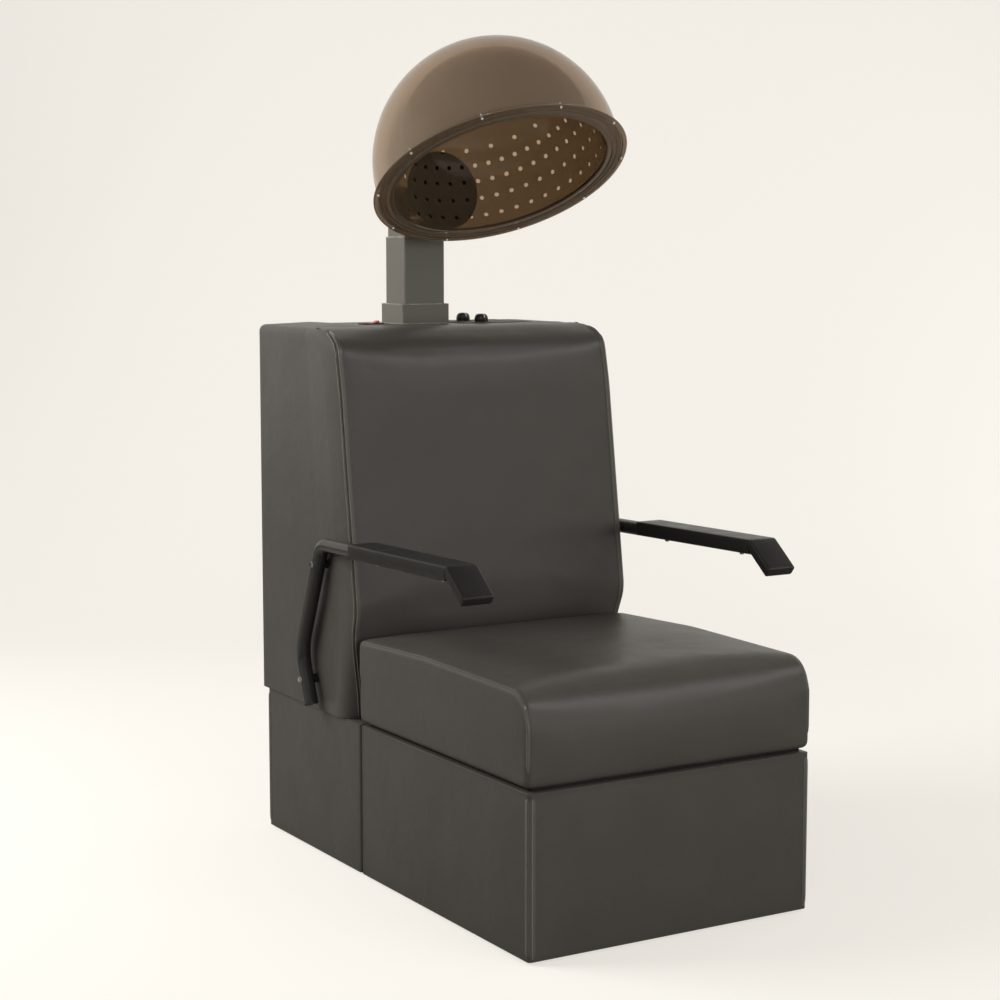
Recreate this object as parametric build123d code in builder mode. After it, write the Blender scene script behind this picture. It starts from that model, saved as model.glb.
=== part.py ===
from build123d import *
import os
from math import cos, degrees, radians, sin, sqrt, tan

# Hooded dryer chair: an upholstered box seat with a padded back box that holds the blower
# and heater, a telescopic square mast that is also the air duct, and a tilting smoked hood.
# Millimetres. +Z is up, the sitter faces -Y, and the sitter's left hand is at +X.
# The origin is on the floor, at the middle of the chair's width and depth.

os.makedirs("parts", exist_ok=True)

# ------------------------------------------------------------------ driving dimensions
# Seat box and back box
body_width = 600.0            # over the upholstery of both bases and the back
front_base_depth = 616.0
rear_base_depth = 421.0
base_joint = 2.0              # the narrow joint between the two bases
back_overhang = 17.0          # the back box stands out this far behind its base
base_height = 294.0
base_corner = 9.0             # rounding of the bases' upright corners
base_edge_roll = 3.0          # rounding of the bases' top edge
board = 15.0                  # plywood
skin = 5.0                    # foam-backed vinyl on the boards
hem = 2.0                     # vinyl folded over a board's edge
hem_lap = 35.0
cleat = 28.0                  # square corner cleats inside the bases

glide_height = 4.0
glide_radius = 13.0
glide_inset = 45.0

# Seat cushion
seat_gap = 5.0                # dark reveal between the base and the cushion
seat_board_inset = 14.0
cushion_bulge = 2.0           # how far the cushion stands out past the base at each side
cushion_rear_reach = 4.0      # past the back of the front base
cushion_front_rise = 97.0     # upright part of the front face
cushion_nose_radius = 66.0
cushion_nose_height = 167.0   # cushion height where the nose starts
cushion_crown_height = 175.0
cushion_rear_height = 163.0
cushion_edge = 9.0

# Back box and back cushion. The cushion's front line is given by its heights above the
# base's top, its drops below the back's top and its reaches behind the front of the rear base.
back_height = 754.0
back_top_pad = 14.0
back_foot_setback = 75.0      # front board's foot, behind the front of the rear base
back_lean = 6.6               # degrees, lean of the front board
back_rear_corner = 26.0
back_top_edge = 12.0
back_flare = 8.0              # the cushion's front stands out past the box at each side
back_flare_depth = 90.0       # over which it flares
back_seam_round = 9.0
foot_reach = 36.0
heel_height = 168.0
heel_reach = 14.0
lumbar_height = 212.0
lumbar_reach = -3.5
shoulder_drop = 114.0
shoulder_reach = 57.0
brow_drop = 26.0
brow_reach = 78.0
crown_drop = 4.0
crown_reach = 138.0
cushion_play = 0.4            # clearance that stays round a soft piece

# Service opening and its panel
panel_width = 500.0
panel_height = 650.0
panel_foot = 42.0             # panel's lower edge above the base's top
panel_sheet = 1.2
panel_border = 20.0           # lap of the panel on the rear board
panel_play = 1.0              # gap between the panel and the vinyl round it
panel_screw_radius = 2.0
panel_screw_head_radius = 4.5
panel_screw_head = 2.5
panel_screw_length = 14.0
louvre_length = 110.0
louvre_width = 6.0
louvre_pitch = 14.0
louvre_rows = 9
louvre_columns = 2
louvre_column_pitch = 140.0
louvre_height = 150.0         # middle of the louvres above the panel's foot

# Arms
arm_offset = 25.5             # tube's centre line, outside the body's side
arm_tube_radius = 14.3
arm_tube_wall = 1.8
arm_foot_reach = 161.0        # the reaches are measured behind the front of the rear base
arm_knee_reach = 200.0
arm_elbow_reach = 104.5
arm_foot_z = 313.0            # the heights are measured from the floor
arm_knee_z = 414.0
arm_elbow_z = 637.0
arm_run = 526.0               # from the elbow's corner to the front end of the tube
arm_rise = 1.03               # degrees that the arm climbs towards the front
arm_knee_bend = 90.0
arm_elbow_bend = 36.0
arm_bolt_heights = (359.0, 596.0)
arm_bolt_radius = 3.0
arm_bolt_head_radius = 6.0
arm_bolt_head = 4.0
arm_bolt_bite = 8.0           # bolt past the inside of the side board
arm_spacer_radius = 9.0
tube_plug_lip = 2.0
tube_plug_length = 12.0

pad_width = 62.0
pad_start = 168.0             # pad's rear end, in front of the elbow's corner
pad_overhang = 13.0           # pad's bend, past the front end of the tube
pad_over_tube = 5.0           # padding above the tube
pad_tube_show = 6.0           # tube left bare below the pad
pad_tip_length = 74.5
pad_tip_drop = 38.7           # degrees below the level part
pad_tip_thickness = 20.0
pad_edge = 2.5
pad_screw_radius = 2.0
pad_screw_head_radius = 4.5
pad_screw_head = 2.4
pad_screw_insets = (66.0, 60.0)    # from the rear and the front end of the level part
pad_screw_bite = 3.2          # screw above the tube

# Mast
mast_setback = 117.5          # mast's axis in front of the back's rear face
collar_width = 110.0
collar_depth = 94.0
collar_height = 41.0
outer_width = 94.0
outer_depth = 83.0
outer_wall = 1.6
outer_top = 178.0             # above the back's top
bushing_wall = 1.5
bushing_length = 35.0
running_clearance = 0.1
inner_wall = 1.5
inner_show = 25.7             # inner tube above the outer one, at rest
stop_ring_height = 10.0
guide_length = 120.0
lift_stroke = 150.0
lift_spare = 10.0             # left between the guide and the bushing at full lift
mast_corner = 4.0

# Mast head and tilt hinge
cheek_thickness = 7.8
cheek_radius = 36.0
head_plate = 6.0
head_plug_depth = 30.0
head_plug_wall = 3.0
tilt_pin_radius = 5.0
tilt_nut_radius = 9.0
tilt_nut_height = 8.0
pin_clearance = 0.05
washer_thickness = 1.5
washer_radius = 15.0
drum_radius = 33.0
drum_wall = 4.0
drum_end = 5.0
drum_clearance = 0.6          # between the drum and the head's plate
drum_slot_width = 44.0        # air slot in the drum's underside
neck_width = 58.0
neck_height = 40.0
neck_wall = 3.5
neck_corner = 12.0
neck_drop = 13.0              # degrees that the neck falls towards the mast, at rest
neck_reach = 100.4            # from the tilt axis to the hood's outside

# Hood
hood_tilt = 29.5              # degrees, front up, at rest
hood_radius = 240.0
hood_wall = 3.0
hood_skirt = 32.0             # rim's underside below the dome's centre
rim_radius = 252.0
rim_bead = 2.2
rim_flange = 2.5
rim_lip = 6.0                 # upstands that hold the dome and the liner
liner_radius = 214.0
liner_wall = 2.0
liner_hole_radius = 4.5
liner_holes = 42
liner_rings = (62.0, 70.5, 80.0, 90.0)   # degrees from the crown
crown_ring = 53.5             # ring with half as many holes
rim_screw_circle = 244.9
rim_screw_count = 10
rim_screw_radius = 1.3
rim_screw_head_radius = 2.6
rim_screw_head = 2.2
inlet_radius = 80.0           # dark inlet plate inside the dome
inlet_plate_thickness = 4.0
flange_radius = 58.0
flange_thickness = 4.0
flange_screw_count = 6
flange_screw_circle = 47.0
flange_screw_radius = 2.0
flange_screw_head_radius = 4.0
flange_screw_head = 2.4

# Blower, heater and ducts
duct_wall = 2.0
heater_width = 112.0
heater_depth = 100.0
heater_height = 130.0
heater_rod_radius = 2.5
heater_rod_pitch = 22.0
heater_rod_rows = 4
heater_rod_columns = 3
mica_thickness = 1.5
mica_margin = 6.0
adapter_height = 26.0
adapter_socket = 12.0
scroll_radius = 96.0
scroll_width = 74.0
scroll_wall = 2.5
scroll_drop = 118.0           # fan's axis below the heater
scroll_foot = 6.0             # scroll's underside above the shelf
outlet_depth = 84.0
fan_radius = 76.0
fan_width = 56.0
fan_blades = 24
fan_blade_thickness = 1.6
fan_blade_depth = 14.0
fan_plate = 2.0
hub_radius = 12.0
eye_radius = 58.0
motor_radius = 44.0
motor_length = 72.0
motor_wall = 3.0
shaft_radius = 4.0
motor_screw_circle = 36.0
motor_screw_count = 3
motor_screw_radius = 2.0
motor_screw_bite = 8.0
motor_screw_head_radius = 3.6
motor_screw_head = 2.2
shelf_thickness = 12.0
shelf_cleat = 20.0
filter_depth = 10.0
filter_lap = 12.0             # filter frame past the louvres at each side
filter_bar = 8.0
filter_bars = 6

# Controls
plate_width = 165.0
plate_depth = 160.0
plate_sheet = 1.5
plate_gap = 21.0              # between the mast's collar and the plate
plate_setback = 33.0          # plate's rear edge, in front of the back's rear face
plate_corner = 6.0
knob_inset = 51.0             # knobs' axes, from the plate's edge by the mast
timer_setback = 96.0          # knobs' axes, in front of the back's rear face
heat_setback = 172.0
knob_radius = 15.0
knob_height = 15.0
knob_lift = 0.3               # knob clear of its dial
knob_pointer = 2.0
dial_radius = 21.0
dial_thickness = 1.2
dial_spigot_radius = 6.0
knob_shaft_radius = 3.0
shaft_depth = 10.0            # shaft inside the switch body
timer_size = 46.0
timer_height = 34.0
heat_switch_radius = 20.0
heat_switch_height = 28.0
switch_play = 1.0             # room round a switch body in the top board
rocker_inset = 57.0           # rocker's middle, from the mast's collar
rocker_setback = 135.0
rocker_frame_width = 46.0
rocker_frame_depth = 28.0
rocker_frame_height = 2.5
rocker_frame_wall = 4.0
rocker_body_depth = 26.0
rocker_body_wall = 2.0
rocker_play = 0.5
rocker_tilt = 8.0             # degrees each way; switched off at rest
rocker_drop = 5.0             # rocker's pin below the frame's top
rocker_crown = 3.0            # rocker above the frame's top
rocker_pin_radius = 1.5
inlet_width = 50.0
inlet_height = 28.0
inlet_depth = 30.0
inlet_lip = 5.0
inlet_rise = 60.0             # middle of the inlet above the panel's foot
inlet_inset = 80.0            # middle of the inlet, from the panel's side

fastener_play = 0.1           # clearance of a bolt or screw in its hole
bolt_radius = 4.0
bolt_head_radius = 7.0
bolt_head = 5.0
bolt_end = 12.0               # bolt past the second board
bolt_spread = 190.0           # bolts, from the middle of the width
base_bolt_inset = 70.0        # bolts between the bases, from their top and from the glides
back_bolt_insets = (90.0, 70.0)    # bolts under the back, from its foot and from the base's rear
head_taper = 22               # degrees, slope of every fastener's head

# ------------------------------------------------------------------ derived positions
half_width = body_width / 2
overall_depth = front_base_depth + base_joint + rear_base_depth + back_overhang
front_y = -overall_depth / 2
front_base_rear_y = front_y + front_base_depth
rear_base_front_y = front_base_rear_y + base_joint
rear_base_rear_y = rear_base_front_y + rear_base_depth
rear_y = rear_base_rear_y + back_overhang
base_top_z = glide_height + base_height
back_top_z = base_top_z + back_height


# ------------------------------------------------------------------ shared operations
def block(x_span, y_span, z_span, mode=Mode.ADD):
    """Add or cut a box between three pairs of faces in the part being built."""
    middle = [(low + high) / 2 for low, high in (x_span, y_span, z_span)]
    size = [high - low for low, high in (x_span, y_span, z_span)]
    with Locations(tuple(middle)):
        Box(*size, mode=mode)


def rods(starts, radius, length, mode=Mode.ADD):
    """Add or cut round bars in one step. Each start is a point and a direction."""
    with Locations(*[Plane(origin=base, z_dir=direction) for base, direction in starts]):
        Cylinder(radius, length, align=(Align.CENTER, Align.CENTER, Align.MIN), mode=mode)


def rod(base, direction, radius, length, mode=Mode.ADD):
    """Add or cut one round bar that starts at base and runs along direction."""
    rods([(base, direction)], radius, length, mode)


def save(piece, name):
    """Name a finished piece and write it as parts/name.step."""
    piece.part.label = name
    export_step(piece.part, f"parts/{name}.step")


def add_screws(seats, direction, radius, length, head_radius, head_height):
    """Add one solid per seat: a shank along direction and a domed head behind the seat."""
    along = Vector(*direction).normalized()
    rods([(seat, along) for seat in seats], radius, length)
    for seat in seats:
        with BuildSketch(Plane(origin=seat, z_dir=-along)) as head:
            Circle(head_radius)
        extrude(head.sketch, amount=head_height, taper=head_taper)


# ------------------------------------------------------------------ upholstered bases
bolt_rows_z = (base_top_z - base_bolt_inset, glide_height + base_bolt_inset)
base_bolt_seats = [
    (side * bolt_spread, front_base_rear_y - skin - board, z)
    for side in (-1, 1)
    for z in bolt_rows_z
]
base_bolt_length = 2 * (skin + board) + base_joint + bolt_end
back_bolt_rows_y = (
    rear_base_front_y + back_foot_setback + back_bolt_insets[0],
    rear_base_rear_y - back_bolt_insets[1],
)
back_bolt_seats = [
    (side * bolt_spread, y, base_top_z - hem - board)
    for side in (-1, 1)
    for y in back_bolt_rows_y
]
back_bolt_length = 2 * (hem + board) + bolt_end


def bore_base_bolts():
    """Drill the holes of the bolts that join the two bases."""
    starts = [(seat, (0, 1, 0)) for seat in base_bolt_seats]
    rods(starts, bolt_radius + fastener_play, base_bolt_length, Mode.SUBTRACT)


def bore_back_bolts():
    """Drill the holes of the bolts that hold the back box on the rear base."""
    starts = [(seat, (0, 0, 1)) for seat in back_bolt_seats]
    rods(starts, bolt_radius + fastener_play, back_bolt_length, Mode.SUBTRACT)


def carcass(y_span):
    """Plywood box of one base, open below, with a board on top and a cleat in each corner."""
    x_half = half_width - skin
    low_y = y_span[0] + skin
    high_y = y_span[1] - skin
    floor_z = glide_height + hem
    top_z = base_top_z - hem
    with BuildPart() as box:
        block((-x_half, x_half), (low_y, high_y), (floor_z, top_z))
        block(
            (board - x_half, x_half - board),
            (low_y + board, high_y - board),
            (floor_z, top_z - board),
            mode=Mode.SUBTRACT,
        )
        cleat_x = x_half - board - cleat / 2
        for x in (-cleat_x, cleat_x):
            for y in (low_y + board + cleat / 2, high_y - board - cleat / 2):
                span = ((x - cleat / 2, x + cleat / 2), (y - cleat / 2, y + cleat / 2))
                block(*span, (floor_z, top_z - board))
        bore_base_bolts()
        bore_back_bolts()
    return box


def cover(y_span):
    """Foam-backed vinyl round one base, hemmed over the top and bottom edges of its boards."""
    middle_y = (y_span[0] + y_span[1]) / 2
    depth = y_span[1] - y_span[0]
    with BuildPart() as wrap:
        with BuildSketch(Plane.XY.offset(glide_height)):
            with Locations((0, middle_y)):
                RectangleRounded(body_width, depth, base_corner)
        extrude(amount=base_height)
        fillet(wrap.faces().sort_by(Axis.Z)[-1].edges(), base_edge_roll * 0.6)
        x_half = half_width - skin
        y_inside = (y_span[0] + skin, y_span[1] - skin)
        block((-x_half, x_half), y_inside, (glide_height + hem, base_top_z - hem), mode=Mode.SUBTRACT)
        block(
            (hem_lap - x_half, x_half - hem_lap),
            (y_inside[0] + hem_lap, y_inside[1] - hem_lap),
            (glide_height, base_top_z),
            mode=Mode.SUBTRACT,
        )
        bore_base_bolts()
    return wrap


front_span = (front_y, front_base_rear_y)
rear_span = (rear_base_front_y, rear_base_rear_y)
save(carcass(front_span), "front_carcass")
save(carcass(rear_span), "rear_carcass")
save(cover(front_span), "front_cover")
save(cover(rear_span), "rear_cover")

with BuildPart() as frame_bolts:
    add_screws(base_bolt_seats, (0, 1, 0), bolt_radius, base_bolt_length, bolt_head_radius, bolt_head)
    add_screws(back_bolt_seats, (0, 0, 1), bolt_radius, back_bolt_length, bolt_head_radius, bolt_head)
save(frame_bolts, "frame_bolts")

# Nail-on glides under the corners of both bases
with BuildPart() as glides:
    with BuildSketch(Plane.XY):
        for low_y, high_y in (front_span, rear_span):
            for y in (low_y + glide_inset, high_y - glide_inset):
                with Locations((glide_inset - half_width, y), (half_width - glide_inset, y)):
                    Circle(glide_radius)
    extrude(amount=glide_height)
    fillet(glides.edges().group_by(Axis.Z)[0], 1.5)
save(glides, "glides")

# ------------------------------------------------------------------ seat
seat_bottom_z = base_top_z + seat_gap
seat_half = half_width + cushion_bulge
seat_rear_y = front_base_rear_y + cushion_rear_reach
board_half = half_width - seat_board_inset
board_y_span = (front_y + seat_board_inset, front_base_rear_y - seat_board_inset)
board_z_span = (base_top_z, base_top_z + board)

with BuildPart() as seat_board:
    block((-board_half, board_half), board_y_span, board_z_span)
save(seat_board, "seat_board")

# The cushion: upright front, a big round nose, a slight crown, and a recess for its board
nose_top = (front_y + cushion_nose_radius, seat_bottom_z + cushion_nose_height)
crown_at = (front_y + front_base_depth * 0.55, seat_bottom_z + cushion_crown_height)
rear_top = (seat_rear_y, seat_bottom_z + cushion_rear_height)
with BuildPart() as seat_cushion:
    with BuildSketch(Plane.YZ):
        with BuildLine():
            Line((seat_rear_y, seat_bottom_z), (front_y, seat_bottom_z))
            Line((front_y, seat_bottom_z), (front_y, seat_bottom_z + cushion_front_rise))
            nose = Spline(
                (front_y, seat_bottom_z + cushion_front_rise),
                nose_top,
                tangents=((0, 1), (1, 0.12)),
            )
            Spline(nose_top, crown_at, rear_top, tangents=((1, 0.12), (1, -0.08)))
            Line(rear_top, (seat_rear_y, seat_bottom_z))
        make_face()
    extrude(amount=seat_half, both=True)
    side_edges = seat_cushion.edges().filter_by(Axis.Z)
    fillet(side_edges, cushion_edge)
    block(
        (-board_half - cushion_play, board_half + cushion_play),
        (board_y_span[0] - cushion_play, board_y_span[1] + cushion_play),
        (seat_bottom_z, board_z_span[1]),
        mode=Mode.SUBTRACT,
    )
save(seat_cushion, "seat_cushion")

# ------------------------------------------------------------------ back box
lean = tan(radians(back_lean))
lean_direction = (0, sin(radians(back_lean)), cos(radians(back_lean)))
back_floor_z = base_top_z


def lean_y(z):
    """Y of the front board's face at a height."""
    return rear_base_front_y + back_foot_setback + (z - base_top_z) * lean


def leaning_block(front_inset, rear, z_span, x_half, mode=Mode.ADD):
    """A box whose front leans with the back, set back from the front board's face."""
    corners = (
        (lean_y(z_span[0]) + front_inset, z_span[0]),
        (rear, z_span[0]),
        (rear, z_span[1]),
        (lean_y(z_span[1]) + front_inset, z_span[1]),
    )
    with BuildSketch(Plane.YZ) as side_shape:
        Polygon(*corners, align=None)
    extrude(side_shape.sketch, amount=x_half, both=True, mode=mode)


mast_y = rear_y - mast_setback
box_half = half_width - skin
box_rear_y = rear_y - skin
box_z_span = (back_floor_z + hem, back_top_z - back_top_pad)
panel_opening_half = panel_width / 2 - panel_border
panel_z_span = (back_floor_z + panel_foot, back_floor_z + panel_foot + panel_height)
panel_opening_z = (panel_z_span[0] + panel_border, panel_z_span[1] - panel_border)
panel_middle_z = (panel_z_span[0] + panel_z_span[1]) / 2

plate_x_span = (collar_width / 2 + plate_gap, collar_width / 2 + plate_gap + plate_width)
plate_y_span = (rear_y - plate_setback - plate_depth, rear_y - plate_setback)
knob_x = plate_x_span[0] + knob_inset
timer_at = (knob_x, rear_y - timer_setback)
heat_at = (knob_x, rear_y - heat_setback)
rocker_at = (-collar_width / 2 - rocker_inset, rear_y - rocker_setback)
board_under_z = box_z_span[1] - board

# Shelf and ducts are stacked under the mast
outer_length = stop_ring_height + guide_length + lift_stroke + lift_spare + bushing_length
outer_foot_z = back_top_z + outer_top - outer_length
heater_top_z = outer_foot_z - adapter_height
heater_foot_z = heater_top_z - heater_height
fan_axis_z = heater_foot_z - scroll_drop
fan_axis_y = mast_y - scroll_radius + outlet_depth / 2
shelf_top_z = fan_axis_z - scroll_radius - scroll_foot
shelf_z_span = (shelf_top_z - shelf_thickness, shelf_top_z)
side_inside = box_half - board
front_board_inset = board / cos(radians(back_lean))

def arm_bolt_place(side, height):
    """Where an arm's bolt crosses the tube's centre line."""
    low = (arm_foot_reach, arm_foot_z)
    knee = (arm_knee_reach, arm_knee_z)
    elbow = (arm_elbow_reach, arm_elbow_z)
    start, end = (low, knee) if height < arm_knee_z else (knee, elbow)
    share = (height - start[1]) / (end[1] - start[1])
    y = rear_base_front_y + start[0] + share * (end[0] - start[0])
    return Vector(side * (half_width + arm_offset), y, height)


def arm_bolt_places(side):
    """Where both bolts of an arm cross the tube's centre line."""
    return [arm_bolt_place(side, height) for height in arm_bolt_heights]


def bore_arm_bolts():
    """Drill the holes of all arm bolts through the wall being built."""
    for side in (-1, 1):
        starts = [(centre, (-side, 0, 0)) for centre in arm_bolt_places(side)]
        length = arm_offset + skin + board * 2
        rods(starts, arm_bolt_radius + fastener_play, length, Mode.SUBTRACT)


def bore_mast_and_controls(z_span, play):
    """Open a top layer for the mast and for the switch bodies."""
    half_x = outer_width / 2 + play
    half_y = outer_depth / 2 + play
    block((-half_x, half_x), (mast_y - half_y, mast_y + half_y), z_span, mode=Mode.SUBTRACT)
    for centre, half_size in ((timer_at, timer_size / 2), (heat_at, heat_switch_radius)):
        reach = half_size + switch_play
        x_span = (centre[0] - reach, centre[0] + reach)
        block(x_span, (centre[1] - reach, centre[1] + reach), z_span, mode=Mode.SUBTRACT)
    reach_x = rocker_frame_width / 2 - rocker_frame_wall + play
    reach_y = rocker_frame_depth / 2 - rocker_frame_wall + play
    x_span = (rocker_at[0] - reach_x, rocker_at[0] + reach_x)
    block(x_span, (rocker_at[1] - reach_y, rocker_at[1] + reach_y), z_span, mode=Mode.SUBTRACT)


panel_face_y = box_rear_y + panel_sheet
inlet_at = (panel_width / 2 - inlet_inset, panel_z_span[0] + inlet_rise)
louvre_middle_z = panel_z_span[0] + louvre_height
louvre_field_height = (louvre_rows - 1) * louvre_pitch + louvre_width
louvre_field_width = (louvre_columns - 1) * louvre_column_pitch + louvre_length
panel_screw_seats = [
    (side * (panel_width - panel_border) / 2, panel_face_y, z)
    for side in (-1, 1)
    for z in (panel_z_span[0] + panel_border / 2, panel_middle_z, panel_z_span[1] - panel_border / 2)
]


def bore_panel_screws():
    """Drill the holes of the service panel's screws."""
    starts = [(seat, (0, -1, 0)) for seat in panel_screw_seats]
    rods(starts, panel_screw_radius + fastener_play, panel_screw_length, Mode.SUBTRACT)


# Outside of the back's plywood box, with its rear corners rounded for the vinyl
with BuildPart() as back_core:
    leaning_block(0, box_rear_y, box_z_span, box_half)
    fillet(back_core.edges().filter_by(Axis.Z).sort_by(Axis.Y)[-2:], back_rear_corner - skin)

with BuildPart() as back_carcass:
    add(back_core.part)
    inner_z = (box_z_span[0] + board, board_under_z)
    leaning_block(front_board_inset, box_rear_y - board, inner_z, side_inside, mode=Mode.SUBTRACT)
    block(
        (-panel_opening_half, panel_opening_half),
        (box_rear_y - board * 1.5, box_rear_y + 1),
        panel_opening_z,
        mode=Mode.SUBTRACT,
    )
    cleat_y = (lean_y(shelf_z_span[1]) + front_board_inset, box_rear_y - board)
    for side in (-1, 1):
        x_span = sorted((side * side_inside, side * (side_inside - shelf_cleat)))
        block(x_span, cleat_y, (shelf_z_span[0] - shelf_cleat, shelf_z_span[0]))
    bore_mast_and_controls((board_under_z - 1, box_z_span[1] + 1), fastener_play)
    bore_back_bolts()
    bore_arm_bolts()
    bore_panel_screws()
save(back_carcass, "back_carcass")

with BuildPart() as back_cover:
    leaning_block(0, rear_y, (back_floor_z, back_top_z), half_width)
    rear_corners = back_cover.edges().filter_by(Axis.Z).sort_by(Axis.Y)[-2:]
    fillet(rear_corners, back_rear_corner)
    top_rim = back_cover.faces().sort_by(Axis.Z)[-1].edges().sort_by(Axis.Y)[1:]
    fillet(top_rim, back_top_edge)
    leaning_block(-board, box_rear_y - back_rear_corner, box_z_span, box_half, mode=Mode.SUBTRACT)
    add(back_core.part, mode=Mode.SUBTRACT)
    leaning_block(-board, box_rear_y - hem_lap, (back_floor_z - 1, box_z_span[0] + 1),
                  box_half - hem_lap, mode=Mode.SUBTRACT)
    block(
        (-panel_width / 2 - panel_play, panel_width / 2 + panel_play),
        (box_rear_y - board, rear_y + 1),
        (panel_z_span[0] - panel_play, panel_z_span[1] + panel_play),
        mode=Mode.SUBTRACT,
    )
    bore_mast_and_controls((box_z_span[1] - 1, back_top_z + 1), fastener_play)
    bore_arm_bolts()
save(back_cover, "back_cover")

# The back cushion: it tucks in at the foot, rolls over the seat, leans with the board and
# rounds over at the brow. Its sides flare a little from the box to the front seam.
front_line = [
    (rear_base_front_y + foot_reach, base_top_z + cushion_play),
    (rear_base_front_y + heel_reach, base_top_z + heel_height),
    (rear_base_front_y + lumbar_reach, base_top_z + lumbar_height),
    (rear_base_front_y + shoulder_reach, back_top_z - shoulder_drop),
    (rear_base_front_y + brow_reach, back_top_z - brow_drop),
    (rear_base_front_y + crown_reach, back_top_z - crown_drop),
    (lean_y(back_top_z), back_top_z),
]
flare_run = back_foot_setback + abs(lumbar_reach) + back_flare_depth
with BuildPart() as back_cushion:
    with BuildSketch(Plane.YZ):
        with BuildLine():
            Line(front_line[0], front_line[1])
            Spline(front_line[1], front_line[2], tangents=((-0.5, 1), (0.02, 1)))
            Spline(front_line[2], front_line[3], tangents=((0.02, 1), (0.17, 1)))
            Spline(front_line[3], front_line[4], tangents=((0.17, 1), (0.5, 1)))
            Spline(front_line[4], front_line[5], front_line[6], tangents=((0.5, 1), (1, 0.02)))
            Line(front_line[6], (lean_y(front_line[0][1]), front_line[0][1]))
            Line((lean_y(front_line[0][1]), front_line[0][1]), front_line[0])
        make_face()
    extrude(amount=half_width + 2 * back_flare, both=True)
    with BuildSketch(Plane.XY.offset(base_top_z)) as plan:
        near_y = lean_y(base_top_z) + back_flare_depth
        far_y = lean_y(base_top_z) - flare_run
        near_half = half_width - back_flare
        far_half = half_width + back_flare * flare_run / back_flare_depth
        Polygon((-near_half, near_y), (near_half, near_y), (far_half, far_y), (-far_half, far_y),
                align=None)
    extrude(plan.sketch, amount=back_height * 1.1, dir=lean_direction, mode=Mode.INTERSECT)
    front_seams = back_cushion.edges().filter_by(
        lambda edge: abs(edge.center().X) > half_width + 1
        and edge.center().Y < lean_y(edge.center().Z) - back_flare_depth / 2
    )
    fillet(front_seams, back_seam_round)
save(back_cushion, "back_cushion")

# ------------------------------------------------------------------ service panel and filter
with BuildPart() as service_panel:
    block((-panel_width / 2, panel_width / 2), (box_rear_y, panel_face_y), panel_z_span)
    fillet(service_panel.edges().filter_by(Axis.Y), plate_corner)
    with BuildSketch(Plane(origin=(0, box_rear_y, louvre_middle_z), z_dir=(0, 1, 0))) as slots:
        with GridLocations(louvre_column_pitch, louvre_pitch, louvre_columns, louvre_rows):
            SlotOverall(louvre_length, louvre_width)
    extrude(slots.sketch, amount=panel_sheet, mode=Mode.SUBTRACT)
    bore_panel_screws()
    block(
        (inlet_at[0] - inlet_width / 2, inlet_at[0] + inlet_width / 2),
        (box_rear_y - 1, panel_face_y + 1),
        (inlet_at[1] - inlet_height / 2, inlet_at[1] + inlet_height / 2),
        mode=Mode.SUBTRACT,
    )
save(service_panel, "service_panel")

with BuildPart() as panel_screws:
    add_screws(
        panel_screw_seats, (0, -1, 0), panel_screw_radius, panel_screw_length,
        panel_screw_head_radius, panel_screw_head
    )
save(panel_screws, "service_panel_screws")

# Lint filter: a frame with bars that lies behind the louvres
filter_half_x = louvre_field_width / 2 + filter_lap
filter_z_span = (
    louvre_middle_z - louvre_field_height / 2 - filter_lap,
    louvre_middle_z + louvre_field_height / 2 + filter_lap,
)
filter_y_span = (box_rear_y - filter_depth, box_rear_y)
with BuildPart() as lint_filter:
    block((-filter_half_x, filter_half_x), filter_y_span, filter_z_span)
    window_x = (filter_bar - filter_half_x, filter_half_x - filter_bar)
    window_z = (filter_z_span[0] + filter_bar, filter_z_span[1] - filter_bar)
    block(window_x, (filter_y_span[0] - 1, filter_y_span[1] + 1), window_z, mode=Mode.SUBTRACT)
    bar_pitch = (window_x[1] - window_x[0]) / (filter_bars + 1)
    for index in range(filter_bars):
        x = window_x[0] + (index + 1) * bar_pitch
        bar_x = (x - filter_bar / 4, x + filter_bar / 4)
        block(bar_x, (filter_y_span[0], filter_y_span[0] + filter_bar / 2), window_z)
save(lint_filter, "lint_filter")

# Mains inlet: a hollow box behind the panel with a lip in front and three pins
with BuildPart() as power_inlet:
    half_x = inlet_width / 2
    half_z = inlet_height / 2
    x_mid, z_mid = inlet_at
    block(
        (x_mid - half_x - inlet_lip, x_mid + half_x + inlet_lip),
        (panel_face_y, panel_face_y + inlet_lip / 2),
        (z_mid - half_z - inlet_lip, z_mid + half_z + inlet_lip),
    )
    block(
        (x_mid - half_x + fastener_play, x_mid + half_x - fastener_play),
        (panel_face_y - inlet_depth, panel_face_y),
        (z_mid - half_z + fastener_play, z_mid + half_z - fastener_play),
    )
    block(
        (x_mid - half_x + inlet_lip, x_mid + half_x - inlet_lip),
        (panel_face_y - inlet_depth + inlet_lip, panel_face_y + inlet_lip),
        (z_mid - half_z + inlet_lip, z_mid + half_z - inlet_lip),
        mode=Mode.SUBTRACT,
    )
    for step in (-1, 0, 1):
        pin_x = x_mid + step * inlet_width / 5
        block(
            (pin_x - 1, pin_x + 1),
            (panel_face_y - inlet_depth + inlet_lip, panel_face_y - inlet_lip),
            (z_mid - inlet_lip / 2, z_mid + inlet_lip / 2),
        )
save(power_inlet, "power_inlet")

# ------------------------------------------------------------------ arms
elbow_at = (rear_base_front_y + arm_elbow_reach, arm_elbow_z)
run_direction = (-cos(radians(arm_rise)), sin(radians(arm_rise)))


def on_run(distance):
    """(y, z) on the tube's centre line, a distance in front of the elbow's corner."""
    return (elbow_at[0] + distance * run_direction[0], elbow_at[1] + distance * run_direction[1])


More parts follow.
